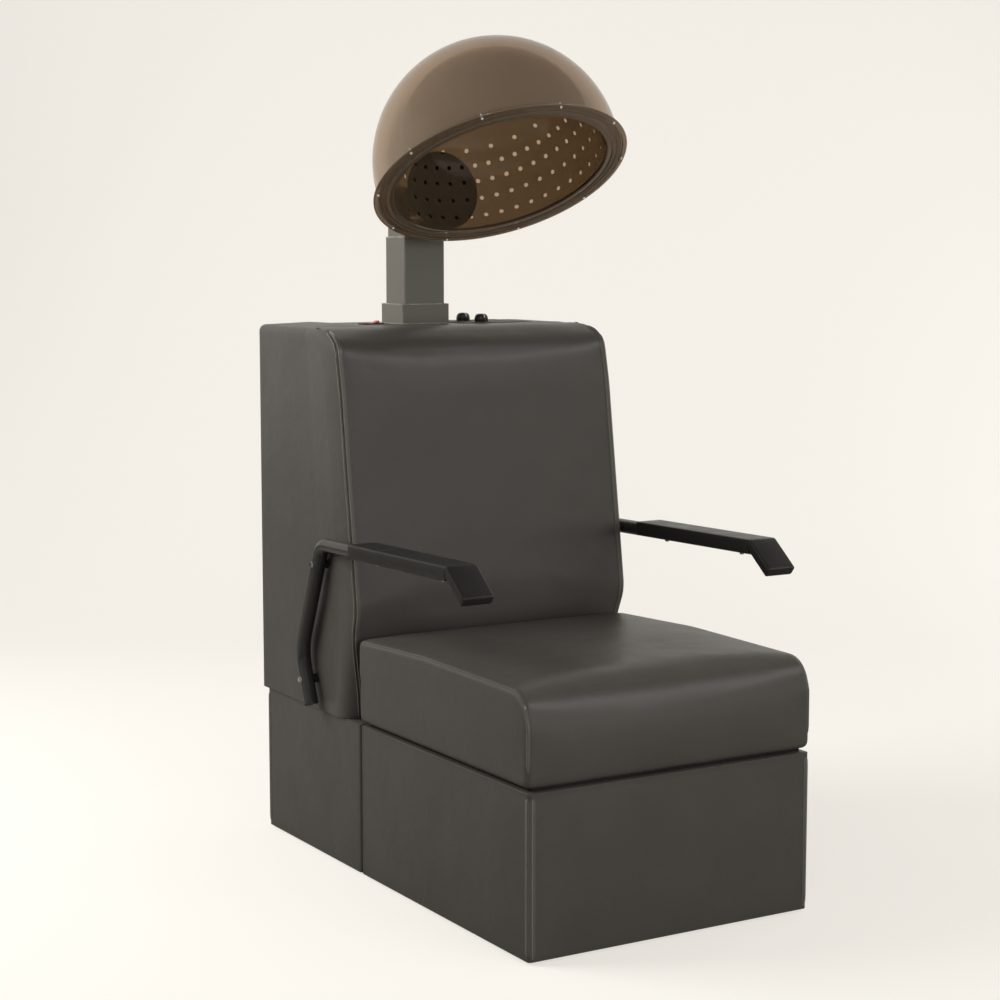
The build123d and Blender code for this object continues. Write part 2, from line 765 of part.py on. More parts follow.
def tube_path(x):
    """The tube's centre line: foot, knee, elbow and the run to the front."""
    points = [
        (x, rear_base_front_y + arm_foot_reach, arm_foot_z),
        (x, rear_base_front_y + arm_knee_reach, arm_knee_z),
        (x, *elbow_at),
        (x, *on_run(arm_run)),
    ]
    return FilletPolyline(*points, radius=[arm_knee_bend, arm_elbow_bend])


pad_length = arm_run - pad_start + pad_overhang    # level part
pad_screw_places = (pad_screw_insets[0], pad_length - pad_screw_insets[1])


def pad_plane(x):
    """Sketch plane along the run: x to the front, y up, starting at the pad's rear end."""
    return Plane(origin=(x, *on_run(pad_start)), x_dir=(0, *run_direction), z_dir=(-1, 0, 0))


def arm_x(side):
    """X of an arm's centre line."""
    return side * (half_width + arm_offset)


run_up = Vector(0, run_direction[1], -run_direction[0])


def pad_screw_seats(side):
    """Where the pad's screws sit on the tube's underside."""
    seats = []
    for place in pad_screw_places:
        centre = Vector(arm_x(side), *on_run(pad_start + place))
        seats.append(centre - run_up * arm_tube_radius)
    return seats


pad_screw_length = 2 * arm_tube_radius + pad_screw_bite
arm_bolt_hole = arm_bolt_radius + fastener_play


def bore_pad_screws(side):
    """Drill the holes of one pad's screws."""
    starts = [(seat, run_up) for seat in pad_screw_seats(side)]
    rods(starts, pad_screw_radius + fastener_play, pad_screw_length, Mode.SUBTRACT)


def tube_bar(side, inner_radius=0.0, mode=Mode.ADD):
    """The arm's tube, or a bar of its full radius, swept along its centre line."""
    with BuildLine() as route:
        path = tube_path(arm_x(side))
    with BuildSketch(Plane(origin=path @ 0, z_dir=path % 0)) as section:
        Circle(arm_tube_radius)
        if inner_radius > 0:
            Circle(inner_radius, mode=Mode.SUBTRACT)
    sweep(section.sketch, path=route.line, mode=mode)


def arm_tube(side, name):
    """Bent tube with cross holes for its bolts and for the pad's screws."""
    with BuildPart() as tube:
        tube_bar(side, arm_tube_radius - arm_tube_wall)
        inward = Vector(-side, 0, 0)
        starts = [(c - inward * arm_tube_radius * 2, inward) for c in arm_bolt_places(side)]
        rods(starts, arm_bolt_hole, arm_tube_radius * 4, Mode.SUBTRACT)
        bore_pad_screws(side)
    save(tube, name)


def arm_pad(side, name):
    """Armrest pad with a level part, a tip that drops and a channel for the tube."""
    tip = radians(pad_tip_drop)
    top = arm_tube_radius + pad_over_tube
    bottom = pad_tube_show - arm_tube_radius
    bend = (pad_length, top)
    tip_top = (pad_length + pad_tip_length * cos(tip), top - pad_tip_length * sin(tip))
    tip_low = (tip_top[0] - pad_tip_thickness * sin(tip), tip_top[1] - pad_tip_thickness * cos(tip))
    under_run = (tip_low[1] - bottom) / sin(tip)
    under_bend = (tip_low[0] + under_run * cos(tip), bottom)
    with BuildPart() as pad:
        with BuildSketch(pad_plane(arm_x(side))) as side_shape:
            Polygon((0, bottom), (0, top), bend, tip_top, tip_low, under_bend, align=None)
        extrude(side_shape.sketch, amount=pad_width / 2, both=True)
        chamfer(pad.faces().filter_by(Axis.X).edges(), pad_edge)
        tube_end = Vector(arm_x(side), *on_run(arm_run + tube_plug_lip))
        rod(tube_end, (0, -run_direction[0], -run_direction[1]), arm_tube_radius,
            pad_length + pad_width, mode=Mode.SUBTRACT)
        bore_pad_screws(side)
    save(pad, name)


for side, hand in ((-1, "right"), (1, "left")):
    arm_tube(side, f"{hand}_arm_tube")
    arm_pad(side, f"{hand}_arm_pad")


def tube_ends(side):
    """Centre and outward direction of the tube's foot and of its front end."""
    with BuildLine():
        path = tube_path(arm_x(side))
    return [(path @ 0, -(path % 0)), (path @ 1, path % 1)]


with BuildPart() as tube_plugs:
    for end, outward in tube_ends(-1) + tube_ends(1):
        rod(end, outward, arm_tube_radius, tube_plug_lip)
        rod(end, -outward, arm_tube_radius - arm_tube_wall, tube_plug_length)
save(tube_plugs, "arm_tube_plugs")

with BuildPart() as spacers:
    for side in (-1, 1):
        starts = [(centre, (-side, 0, 0)) for centre in arm_bolt_places(side)]
        rods(starts, arm_spacer_radius, arm_offset)
        rods(starts, arm_bolt_hole, arm_offset, Mode.SUBTRACT)
        tube_bar(side, mode=Mode.SUBTRACT)
save(spacers, "arm_spacers")

with BuildPart() as arm_bolts:
    for side in (-1, 1):
        seats = [c + Vector(side * arm_tube_radius, 0, 0) for c in arm_bolt_places(side)]
        length = arm_tube_radius + arm_offset + skin + board + arm_bolt_bite
        add_screws(seats, (-side, 0, 0), arm_bolt_radius, length, arm_bolt_head_radius, arm_bolt_head)
save(arm_bolts, "arm_bolts")

with BuildPart() as pad_screws:
    for side in (-1, 1):
        add_screws(pad_screw_seats(side), run_up, pad_screw_radius, pad_screw_length,
                   pad_screw_head_radius, pad_screw_head)
save(pad_screws, "pad_screws")

# ------------------------------------------------------------------ mast
collar_top_z = back_top_z + collar_height
outer_top_z = back_top_z + outer_top
inner_top_z = outer_top_z + inner_show
inner_foot_z = outer_foot_z + stop_ring_height
bore_width = outer_width - 2 * outer_wall
bore_depth = outer_depth - 2 * outer_wall
inner_width = bore_width - 2 * (bushing_wall + running_clearance)
inner_depth = bore_depth - 2 * (bushing_wall + running_clearance)


def sleeve(outside, inside, corner, z_span):
    """Square tube round the mast's axis between two heights."""
    with BuildSketch(Plane.XY.offset(z_span[0])) as ring:
        with Locations((0, mast_y)):
            RectangleRounded(*outside, corner)
            RectangleRounded(*inside, max(corner - (outside[0] - inside[0]) / 2, 0.5),
                             mode=Mode.SUBTRACT)
    extrude(ring.sketch, amount=z_span[1] - z_span[0])


with BuildPart() as mast_outer:
    sleeve((outer_width, outer_depth), (bore_width, bore_depth), mast_corner,
           (outer_foot_z, outer_top_z))
save(mast_outer, "mast_outer_tube")

with BuildPart() as collar:
    grip = 2 * fastener_play
    sleeve((collar_width, collar_depth), (outer_width + grip, outer_depth + grip), mast_corner,
           (back_top_z, collar_top_z))
save(collar, "mast_collar")

with BuildPart() as bushing:
    slip = 2 * bushing_wall
    sleeve((bore_width, bore_depth), (bore_width - slip, bore_depth - slip), mast_corner,
           (outer_top_z - bushing_length, outer_top_z))
save(bushing, "mast_bushing")

with BuildPart() as stop_ring:
    sleeve((bore_width, bore_depth), (inner_width - slip, inner_depth - slip), mast_corner,
           (outer_foot_z, inner_foot_z))
save(stop_ring, "mast_stop_ring")

with BuildPart() as mast_inner:
    wall_pair = 2 * inner_wall
    sleeve((inner_width, inner_depth), (inner_width - wall_pair, inner_depth - wall_pair),
           mast_corner, (inner_foot_z, inner_top_z))
save(mast_inner, "mast_inner_tube")

with BuildPart() as guide:
    slide_pair = 2 * running_clearance
    sleeve((bore_width - slide_pair, bore_depth - slide_pair), (inner_width, inner_depth),
           mast_corner, (inner_foot_z, inner_foot_z + guide_length))
save(guide, "mast_foot_guide")

# ------------------------------------------------------------------ mast head and tilt hinge
pivot_z = inner_top_z + head_plate + drum_clearance + drum_radius
pivot_at = (0, mast_y, pivot_z)
cheek_inner_x = inner_width / 2 - cheek_thickness
drum_half = cheek_inner_x - washer_thickness

with BuildPart() as mast_head:
    plug_width = inner_width - 2 * (inner_wall + fastener_play)
    plug_depth = inner_depth - 2 * (inner_wall + fastener_play)
    shell = 2 * head_plug_wall
    sleeve((plug_width, plug_depth), (plug_width - shell, plug_depth - shell), mast_corner,
           (inner_top_z - head_plug_depth, inner_top_z))
    sleeve((inner_width, inner_depth), (plug_width - shell, plug_depth - shell), mast_corner,
           (inner_top_z, inner_top_z + head_plate))
    for side in (-1, 1):
        with BuildSketch(Plane.YZ.offset(side * cheek_inner_x)) as cheek:
            with Locations((mast_y, pivot_z)):
                Circle(cheek_radius)
            low_z = inner_top_z + head_plate
            with Locations((mast_y, (low_z + pivot_z) / 2)):
                Rectangle(2 * cheek_radius, pivot_z - low_z)
            with Locations((mast_y, pivot_z)):
                Circle(tilt_pin_radius + fastener_play, mode=Mode.SUBTRACT)
        extrude(cheek.sketch, amount=side * cheek_thickness)
save(mast_head, "mast_head")

with BuildPart() as tilt_pin:
    half_pin = cheek_inner_x + cheek_thickness
    rod((-half_pin, *pivot_at[1:]), (1, 0, 0), tilt_pin_radius, 2 * half_pin)
    for side in (-1, 1):
        nut_plane = Plane(origin=(side * half_pin, *pivot_at[1:]), z_dir=(side, 0, 0))
        with BuildSketch(nut_plane) as nut:
            RegularPolygon(tilt_nut_radius, 6)
        extrude(nut.sketch, amount=tilt_nut_height)
save(tilt_pin, "tilt_pin")

with BuildPart() as washers:
    for side in (-1, 1):
        inner_face = (side * drum_half, *pivot_at[1:])
        rod(inner_face, (side, 0, 0), washer_radius, washer_thickness)
    rod((-cheek_inner_x, *pivot_at[1:]), (1, 0, 0), tilt_pin_radius + fastener_play,
        2 * cheek_inner_x, mode=Mode.SUBTRACT)
save(washers, "tilt_washers")

# ------------------------------------------------------------------ hood
# The neck runs from the tilt axis to the middle of the dome. The hood's own axis points up
# and forwards out of the crown.
neck_direction = Vector(0, -cos(radians(neck_drop)), sin(radians(neck_drop)))
dome_centre = Vector(*pivot_at) + neck_direction * (neck_reach + hood_radius)
crown = Vector(0, sin(radians(hood_tilt)), cos(radians(hood_tilt)))
hood_rear = Vector(0, cos(radians(hood_tilt)), -sin(radians(hood_tilt)))
hood_section = Plane(origin=dome_centre, x_dir=(1, 0, 0), z_dir=-hood_rear)
hood_axis = Axis(dome_centre, crown)
neck_plane = Plane(origin=dome_centre, x_dir=(1, 0, 0), z_dir=-neck_direction)
rim_top = rim_flange - hood_skirt
inlet_outer = sqrt((hood_radius - hood_wall) ** 2 - inlet_radius ** 2)


def shell_of_revolution(outer, wall, foot):
    """A hemisphere with a straight skirt, open below, about the hood's axis."""
    inner = outer - wall
    with BuildSketch(hood_section) as half:
        with BuildLine():
            Line((outer, foot), (outer, 0))
            RadiusArc((outer, 0), (0, outer), -outer)
            Line((0, outer), (0, inner))
            RadiusArc((0, inner), (inner, 0), inner)
            Line((inner, 0), (inner, foot))
            Line((inner, foot), (outer, foot))
        make_face()
    revolve(half.sketch, axis=hood_axis)


def ring_of_revolution(inner, outer, foot, top):
    """A flat ring about the hood's axis."""
    with BuildSketch(hood_section) as half:
        with Locations(((inner + outer) / 2, (foot + top) / 2)):
            Rectangle(outer - inner, top - foot)
    revolve(half.sketch, axis=hood_axis)


def neck_bar(width, height, start, length, mode=Mode.ADD):
    """A bar with rounded corners along the neck, from a distance behind the dome's centre."""
    with BuildSketch(neck_plane.offset(start)) as section:
        RectangleRounded(width, height, neck_corner)
    extrude(section.sketch, amount=length, mode=mode)


duct_width = neck_width - 2 * neck_wall
duct_height = neck_height - 2 * neck_wall
flange_screw_seats = []
for index in range(flange_screw_count):
    angle = 360 / flange_screw_count * (index + 0.5)
    across = neck_plane.x_dir * (flange_screw_circle * cos(radians(angle)))
    up_down = neck_plane.y_dir * (flange_screw_circle * sin(radians(angle)))
    flange_face = sqrt((hood_radius + flange_thickness) ** 2 - flange_screw_circle ** 2)
    flange_screw_seats.append(dome_centre - neck_direction * flange_face + across + up_down)
flange_screw_length = flange_face - inlet_outer + inlet_plate_thickness / 2


def bore_flange_screws():
    """Drill the holes of the screws that clamp the dome between the neck and its plate."""
    starts = [(seat, neck_direction) for seat in flange_screw_seats]
    rods(starts, flange_screw_radius + fastener_play, flange_screw_length, Mode.SUBTRACT)


rim_screw_seats = []
for index in range(rim_screw_count):
    angle = radians(360 / rim_screw_count * index)
    around = Vector(1, 0, 0) * sin(angle) - hood_rear * cos(angle)
    rim_screw_seats.append(dome_centre + around * rim_screw_circle - crown * hood_skirt)


with BuildPart() as hood_shell:
    shell_of_revolution(hood_radius, hood_wall, rim_top)
    neck_bar(duct_width, duct_height, hood_radius / 2, hood_radius, mode=Mode.SUBTRACT)
    bore_flange_screws()
save(hood_shell, "hood_shell")

with BuildPart() as hood_rim:
    ring_of_revolution(liner_radius - liner_wall, rim_radius - rim_bead, -hood_skirt, rim_top)
    ring_of_revolution(liner_radius, liner_radius + rim_flange, rim_top, rim_top + rim_lip)
    inner_lip = hood_radius - hood_wall - rim_flange
    ring_of_revolution(inner_lip, hood_radius - hood_wall, rim_top, rim_top + rim_lip)
    ring_of_revolution(hood_radius, hood_radius + rim_flange, rim_top, rim_top + rim_lip)
    with BuildSketch(hood_section) as bead:
        with Locations((rim_radius - rim_bead, rim_top - rim_flange / 2)):
            Circle(rim_bead)
    revolve(bead.sketch, axis=hood_axis)
    starts = [(seat, crown) for seat in rim_screw_seats]
    rods(starts, rim_screw_radius + fastener_play, rim_flange * 2, Mode.SUBTRACT)
save(hood_rim, "hood_rim")

def liner_hole_starts():
    """Start and outward direction of every air hole, ring by ring down from the crown."""
    hole_rings = [(crown_ring, liner_holes // 2)] + [(polar, liner_holes) for polar in liner_rings]
    starts = []
    for polar, count in hole_rings:
        for index in range(count):
            turn = radians(360 / count * (index + 0.5))
            around = Vector(1, 0, 0) * sin(turn) + hood_rear * cos(turn)
            outward = around * sin(radians(polar)) + crown * cos(radians(polar))
            starts.append((dome_centre + outward * (liner_radius - 3 * liner_wall), outward))
    return starts


with BuildPart() as liner:
    shell_of_revolution(liner_radius, liner_wall, rim_top)
    rods(liner_hole_starts(), liner_hole_radius, 4 * liner_wall, Mode.SUBTRACT)
save(liner, "hood_liner")

# Screws from below, through the rim's flange and up beside the dome
rim_screw_length = rim_flange + rim_lip
with BuildPart() as rim_screws:
    add_screws(
        rim_screw_seats, crown, rim_screw_radius, rim_screw_length,
        rim_screw_head_radius, rim_screw_head
    )
save(rim_screws, "hood_rim_screws")

# Neck casting: a hollow drum on the tilt pin, the neck and a dished flange on the dome
with BuildPart() as neck:
    neck_bar(neck_width, neck_height, hood_radius * 0.9, neck_reach + hood_radius * 0.1)
    rod((-drum_half, *pivot_at[1:]), (1, 0, 0), drum_radius, 2 * drum_half)
    with BuildSketch(neck_plane.offset(hood_radius * 0.9)) as flange_disc:
        Circle(flange_radius)
    extrude(flange_disc.sketch, amount=hood_radius * 0.2)
    outside_flange = hood_radius + flange_thickness
    with Locations(dome_centre):
        Sphere(hood_radius, mode=Mode.SUBTRACT)
    with BuildPart(mode=Mode.PRIVATE) as trimmer:
        with BuildSketch(neck_plane) as collar_ring:
            Circle(flange_radius * 1.2)
        extrude(collar_ring.sketch, amount=hood_radius * 1.2)
        with Locations(dome_centre):
            Sphere(outside_flange, mode=Mode.SUBTRACT)
        with BuildSketch(neck_plane) as keep_neck:
            RectangleRounded(neck_width, neck_height, neck_corner)
        extrude(keep_neck.sketch, amount=hood_radius * 1.2, mode=Mode.SUBTRACT)
    add(trimmer.part, mode=Mode.SUBTRACT)
    rod((drum_end - drum_half, *pivot_at[1:]), (1, 0, 0), drum_radius - drum_wall,
        2 * (drum_half - drum_end), mode=Mode.SUBTRACT)
    neck_bar(duct_width, duct_height, hood_radius / 2, neck_reach + hood_radius / 2,
             mode=Mode.SUBTRACT)
    spot_faces = [(seat, -neck_direction) for seat in flange_screw_seats]
    rods(spot_faces, flange_screw_head_radius + fastener_play, flange_thickness, Mode.SUBTRACT)
    slot_half = drum_slot_width / 2
    block((drum_end - drum_half, drum_half - drum_end), (mast_y - slot_half, mast_y + slot_half),
          (pivot_z - drum_radius - 1, pivot_z - slot_half), mode=Mode.SUBTRACT)
    rod((-drum_half, *pivot_at[1:]), (1, 0, 0), tilt_pin_radius + pin_clearance, 2 * drum_half,
        mode=Mode.SUBTRACT)
    bore_flange_screws()
save(neck, "hood_neck")

with BuildPart() as inlet_plate:
    with BuildSketch(neck_plane.offset(inlet_outer - inlet_plate_thickness)) as plate_disc:
        Circle(inlet_radius)
        RectangleRounded(duct_width, duct_height, neck_corner - neck_wall, mode=Mode.SUBTRACT)
    extrude(plate_disc.sketch, amount=inlet_plate_thickness)
    bore_flange_screws()
save(inlet_plate, "hood_inlet_plate")

with BuildPart() as flange_screws:
    add_screws(
        flange_screw_seats, neck_direction, flange_screw_radius, flange_screw_length,
        flange_screw_head_radius, flange_screw_head
    )
save(flange_screws, "hood_neck_screws")

# ------------------------------------------------------------------ heater and ducts
heater_z_span = (heater_foot_z, heater_top_z)
socket_top_z = outer_foot_z + adapter_socket


def duct_layer(width, depth, z):
    """A rounded rectangle round the mast's axis at a height, for lofting."""
    with BuildSketch(Plane.XY.offset(z)) as layer:
        with Locations((0, mast_y)):
            RectangleRounded(width, depth, mast_corner)
    return layer.sketch


with BuildPart() as adapter:
    wall_pair = 2 * duct_wall
    loft([duct_layer(heater_width, heater_depth, heater_top_z),
          duct_layer(outer_width + wall_pair, outer_depth + wall_pair, outer_foot_z)])
    loft([duct_layer(heater_width - wall_pair, heater_depth - wall_pair, heater_top_z),
          duct_layer(bore_width, bore_depth, outer_foot_z)], mode=Mode.SUBTRACT)
    grip = 2 * fastener_play
    sleeve((outer_width + wall_pair, outer_depth + wall_pair),
           (outer_width + grip, outer_depth + grip), mast_corner, (outer_foot_z, socket_top_z))
save(adapter, "duct_adapter")

with BuildPart() as heater_box:
    sleeve((heater_width, heater_depth), (heater_width - wall_pair, heater_depth - wall_pair),
           mast_corner, heater_z_span)
save(heater_box, "heater_box")

# Heater element: rods between two mica boards that stand against the box's walls
with BuildPart() as heater_element:
    board_face = heater_width / 2 - duct_wall
    board_half_y = heater_depth / 2 - duct_wall - mica_margin
    board_z = (heater_foot_z + mica_margin, heater_top_z - mica_margin)
    for side in (-1, 1):
        x_span = sorted((side * board_face, side * (board_face - mica_thickness)))
        block(x_span, (mast_y - board_half_y, mast_y + board_half_y), board_z)
    rod_starts = []
    for row in range(heater_rod_rows):
        for column in range(heater_rod_columns):
            y = mast_y + (column - (heater_rod_columns - 1) / 2) * heater_rod_pitch
            z = (board_z[0] + board_z[1]) / 2 + (row - (heater_rod_rows - 1) / 2) * heater_rod_pitch
            rod_starts.append(((-board_face, y, z), (1, 0, 0)))
    rods(rod_starts, heater_rod_radius, 2 * board_face)
save(heater_element, "heater_element")

# ------------------------------------------------------------------ blower
fan_axis = (0, fan_axis_y, fan_axis_z)
scroll_half = scroll_width / 2
outlet_y_span = (mast_y - outlet_depth / 2, mast_y + outlet_depth / 2)

motor_screw_seats = []
for index in range(motor_screw_count):
    angle = radians(360 / motor_screw_count * index + 90)
    y = fan_axis_y + motor_screw_circle * cos(angle)
    z = fan_axis_z + motor_screw_circle * sin(angle)
    motor_screw_seats.append((scroll_half - scroll_wall, y, z))
motor_screw_length = scroll_wall + motor_screw_bite


def bore_motor_screws():
    """Drill the holes of the screws that hold the motor on the scroll."""
    starts = [(seat, (1, 0, 0)) for seat in motor_screw_seats]
    rods(starts, motor_screw_radius + fastener_play, motor_screw_length, Mode.SUBTRACT)


with BuildPart() as shelf:
    block((-side_inside, side_inside), (lean_y(shelf_top_z) + front_board_inset, box_rear_y - board),
          shelf_z_span)
save(shelf, "blower_shelf")


def scroll_outline(wall):
    """The scroll's side view, inset by a wall: a round chamber and a straight outlet."""
    with BuildSketch(Plane.YZ) as outline:
        with Locations((fan_axis_y, fan_axis_z)):
            Circle(scroll_radius - wall)
        top_z = heater_foot_z
        with Locations((mast_y, (fan_axis_z + top_z) / 2)):
            Rectangle(outlet_depth - 2 * wall, top_z - fan_axis_z)
    return outline.sketch


with BuildPart() as scroll:
    extrude(scroll_outline(0), amount=scroll_half, both=True)
    block((-scroll_half, scroll_half), (fan_axis_y - scroll_radius / 2, fan_axis_y + scroll_radius / 2),
          (shelf_top_z, fan_axis_z - scroll_radius / 2))
    extrude(scroll_outline(scroll_wall), amount=scroll_half - scroll_wall, both=True,
            mode=Mode.SUBTRACT)
    rod((-scroll_half - 1, *fan_axis[1:]), (1, 0, 0), eye_radius, 2 * scroll_wall,
        mode=Mode.SUBTRACT)
    rod((0, *fan_axis[1:]), (1, 0, 0), 2 * shaft_radius, scroll_half + 1, mode=Mode.SUBTRACT)
    block((-scroll_half + scroll_wall, scroll_half - scroll_wall),
          (outlet_y_span[0] + scroll_wall, outlet_y_span[1] - scroll_wall),
          (heater_foot_z - scroll_wall * 2, heater_foot_z + 1), mode=Mode.SUBTRACT)
    bore_motor_screws()
save(scroll, "blower_scroll")

# Flange that widens the scroll's outlet to the heater box
with BuildPart() as outlet_flange:
    half_x = heater_width / 2
    half_y = heater_depth / 2
    block((-half_x, half_x), (mast_y - half_y, mast_y + half_y),
          (heater_foot_z - duct_wall, heater_foot_z))
    block((-scroll_half, scroll_half), outlet_y_span,
          (heater_foot_z - duct_wall - 1, heater_foot_z + 1), mode=Mode.SUBTRACT)
save(outlet_flange, "outlet_flange")

fan_half = fan_width / 2
blade_radius = fan_radius - fan_blade_depth / 2 - 1
with BuildPart() as fan:
    rod((fan_half - fan_plate, *fan_axis[1:]), (1, 0, 0), fan_radius, fan_plate)
    rod((-fan_half, *fan_axis[1:]), (1, 0, 0), fan_radius, fan_plate)
    rod((-fan_half - 1, *fan_axis[1:]), (1, 0, 0), fan_radius - fan_blade_depth, fan_plate + 2,
        mode=Mode.SUBTRACT)
    with BuildSketch(Plane.YZ.offset(-fan_half)) as blades:
        with Locations((fan_axis_y, fan_axis_z)):
            with PolarLocations(blade_radius, fan_blades):
                Rectangle(fan_blade_depth, fan_blade_thickness, rotation=35)
    extrude(blades.sketch, amount=fan_width)
    rod((0, *fan_axis[1:]), (1, 0, 0), hub_radius, fan_half)
    rod((0, *fan_axis[1:]), (1, 0, 0), shaft_radius, fan_half + 1, mode=Mode.SUBTRACT)
save(fan, "blower_wheel")

motor_far_x = scroll_half + motor_length
with BuildPart() as motor_shaft:
    rod((0, *fan_axis[1:]), (1, 0, 0), shaft_radius, motor_far_x - motor_wall)
save(motor_shaft, "motor_shaft")

with BuildPart() as motor:
    rod((scroll_half, *fan_axis[1:]), (1, 0, 0), motor_radius, motor_length)
    fillet(motor.faces().sort_by(Axis.X)[-1].edges(), motor_wall)
    rod((scroll_half, *fan_axis[1:]), (1, 0, 0), shaft_radius + pin_clearance,
        motor_length - motor_wall, mode=Mode.SUBTRACT)
    bore_motor_screws()
save(motor, "blower_motor")

with BuildPart() as motor_screws:
    add_screws(
        motor_screw_seats, (1, 0, 0), motor_screw_radius, motor_screw_length,
        motor_screw_head_radius, motor_screw_head
    )
save(motor_screws, "motor_screws")

# ------------------------------------------------------------------ controls
plate_top_z = back_top_z + plate_sheet
dial_top_z = plate_top_z + dial_thickness
spigot_hole = dial_spigot_radius + fastener_play

with BuildPart() as control_plate:
    block(plate_x_span, plate_y_span, (back_top_z, plate_top_z))
    fillet(control_plate.edges().filter_by(Axis.Z), plate_corner)
    for centre in (timer_at, heat_at):
        rod((*centre, back_top_z), (0, 0, 1), spigot_hole, plate_sheet, mode=Mode.SUBTRACT)
save(control_plate, "control_plate")


def dial(centre, name):
    """Dial plate with a spigot that passes through the control plate round the shaft."""
    with BuildPart() as ring:
        rod((*centre, plate_top_z), (0, 0, 1), dial_radius, dial_thickness)
        fillet(ring.edges().group_by(Axis.Z)[-1], dial_thickness / 2)
        rod((*centre, back_top_z), (0, 0, 1), dial_spigot_radius, plate_sheet)
        rod((*centre, back_top_z), (0, 0, 1), knob_shaft_radius + pin_clearance,
            plate_sheet + dial_thickness, mode=Mode.SUBTRACT)
    save(ring, name)


def knob(centre, name):
    """Knob with its shaft and a raised pointer that faces the mast."""
    foot_z = dial_top_z + knob_lift
    with BuildPart() as grip:
        with BuildSketch(Plane.XY.offset(foot_z)) as disc:
            with Locations(centre):
                Circle(knob_radius)
        extrude(disc.sketch, amount=knob_height, taper=4)
        fillet(grip.edges().group_by(Axis.Z)[-1], knob_height / 4)
        pointer_x = (centre[0] - knob_radius * 0.8, centre[0])
        pointer_y = (centre[1] - knob_pointer / 2, centre[1] + knob_pointer / 2)
        block(pointer_x, pointer_y, (foot_z + knob_height / 2, foot_z + knob_height + knob_pointer / 2))
        rod((*centre, back_top_z - shaft_depth), (0, 0, 1), knob_shaft_radius,
            shaft_depth + foot_z - back_top_z)
    save(grip, name)


def bore_shaft(centre, depth):
    """Bore a switch body for the shaft of its knob."""
    rod((*centre, back_top_z - depth), (0, 0, 1), knob_shaft_radius + pin_clearance, depth,
        mode=Mode.SUBTRACT)


dial(timer_at, "timer_dial")
dial(heat_at, "heat_dial")
knob(timer_at, "timer_knob")
knob(heat_at, "heat_knob")

with BuildPart() as timer_body:
    half = timer_size / 2
    block((timer_at[0] - half, timer_at[0] + half), (timer_at[1] - half, timer_at[1] + half),
          (back_top_z - timer_height, back_top_z))
    bore_shaft(timer_at, shaft_depth + fastener_play)
save(timer_body, "timer_body")

with BuildPart() as heat_switch:
    rod((*heat_at, back_top_z - heat_switch_height), (0, 0, 1), heat_switch_radius,
        heat_switch_height)
    bore_shaft(heat_at, shaft_depth + fastener_play)
save(heat_switch, "heat_switch_body")

# Rocker switch: a frame on the top, its body through the board, and the rocker on its pin
frame_top_z = back_top_z + rocker_frame_height
rocker_pin_z = frame_top_z - rocker_drop
opening_x = rocker_frame_width / 2 - rocker_frame_wall - rocker_body_wall
opening_y = rocker_frame_depth / 2 - rocker_frame_wall - rocker_body_wall
with BuildPart() as rocker_frame:
    block((rocker_at[0] - rocker_frame_width / 2, rocker_at[0] + rocker_frame_width / 2),
          (rocker_at[1] - rocker_frame_depth / 2, rocker_at[1] + rocker_frame_depth / 2),
          (back_top_z, frame_top_z))
    fillet(rocker_frame.edges().filter_by(Axis.Z), rocker_body_wall)
    block((rocker_at[0] - opening_x - rocker_body_wall, rocker_at[0] + opening_x + rocker_body_wall),
          (rocker_at[1] - opening_y - rocker_body_wall, rocker_at[1] + opening_y + rocker_body_wall),
          (back_top_z - rocker_body_depth, back_top_z))
    block((rocker_at[0] - opening_x, rocker_at[0] + opening_x),
          (rocker_at[1] - opening_y, rocker_at[1] + opening_y),
          (back_top_z - rocker_body_depth + rocker_body_wall, frame_top_z), mode=Mode.SUBTRACT)
    rod((rocker_at[0], rocker_at[1] - opening_y - rocker_body_wall / 2, rocker_pin_z), (0, 1, 0),
        rocker_pin_radius + pin_clearance, 2 * opening_y + rocker_body_wall, mode=Mode.SUBTRACT)
save(rocker_frame, "rocker_frame")

with BuildPart() as rocker:
    lean_angle = radians(rocker_tilt)
    rocker_plane = Plane(
        origin=(rocker_at[0], rocker_at[1], rocker_pin_z),
        x_dir=(cos(lean_angle), 0, sin(lean_angle)),
        z_dir=(0, -1, 0),
    )
    half_length = opening_x - 2 * rocker_play
    crest = rocker_drop + rocker_crown
    waist = rocker_drop * 0.6
    with BuildSketch(rocker_plane) as rocker_side:
        Polygon((-half_length, crest), (0, rocker_drop), (half_length, crest),
                (half_length * 0.9, -waist), (-half_length * 0.9, -waist), align=None)
    extrude(rocker_side.sketch, amount=opening_y - rocker_play, both=True)
    rod((rocker_at[0], rocker_at[1] - opening_y - rocker_body_wall / 2, rocker_pin_z), (0, 1, 0),
        rocker_pin_radius, 2 * opening_y + rocker_body_wall)
save(rocker, "power_rocker")
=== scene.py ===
"""Dresses the hooded dryer chair: upholstery, smoked hood, arms, controls and finishes.

Metres, +Z up. The sitter faces -Y and the sitter's left hand is at +X.
"""
import logging
from dataclasses import dataclass
from enum import Enum
from functools import lru_cache
from math import atan2, ceil, cos, exp, hypot, pi, radians, sin, tanh
from typing import Callable, Iterable, Sequence

import bmesh
import bpy
from mathutils import Euler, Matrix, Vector, noise


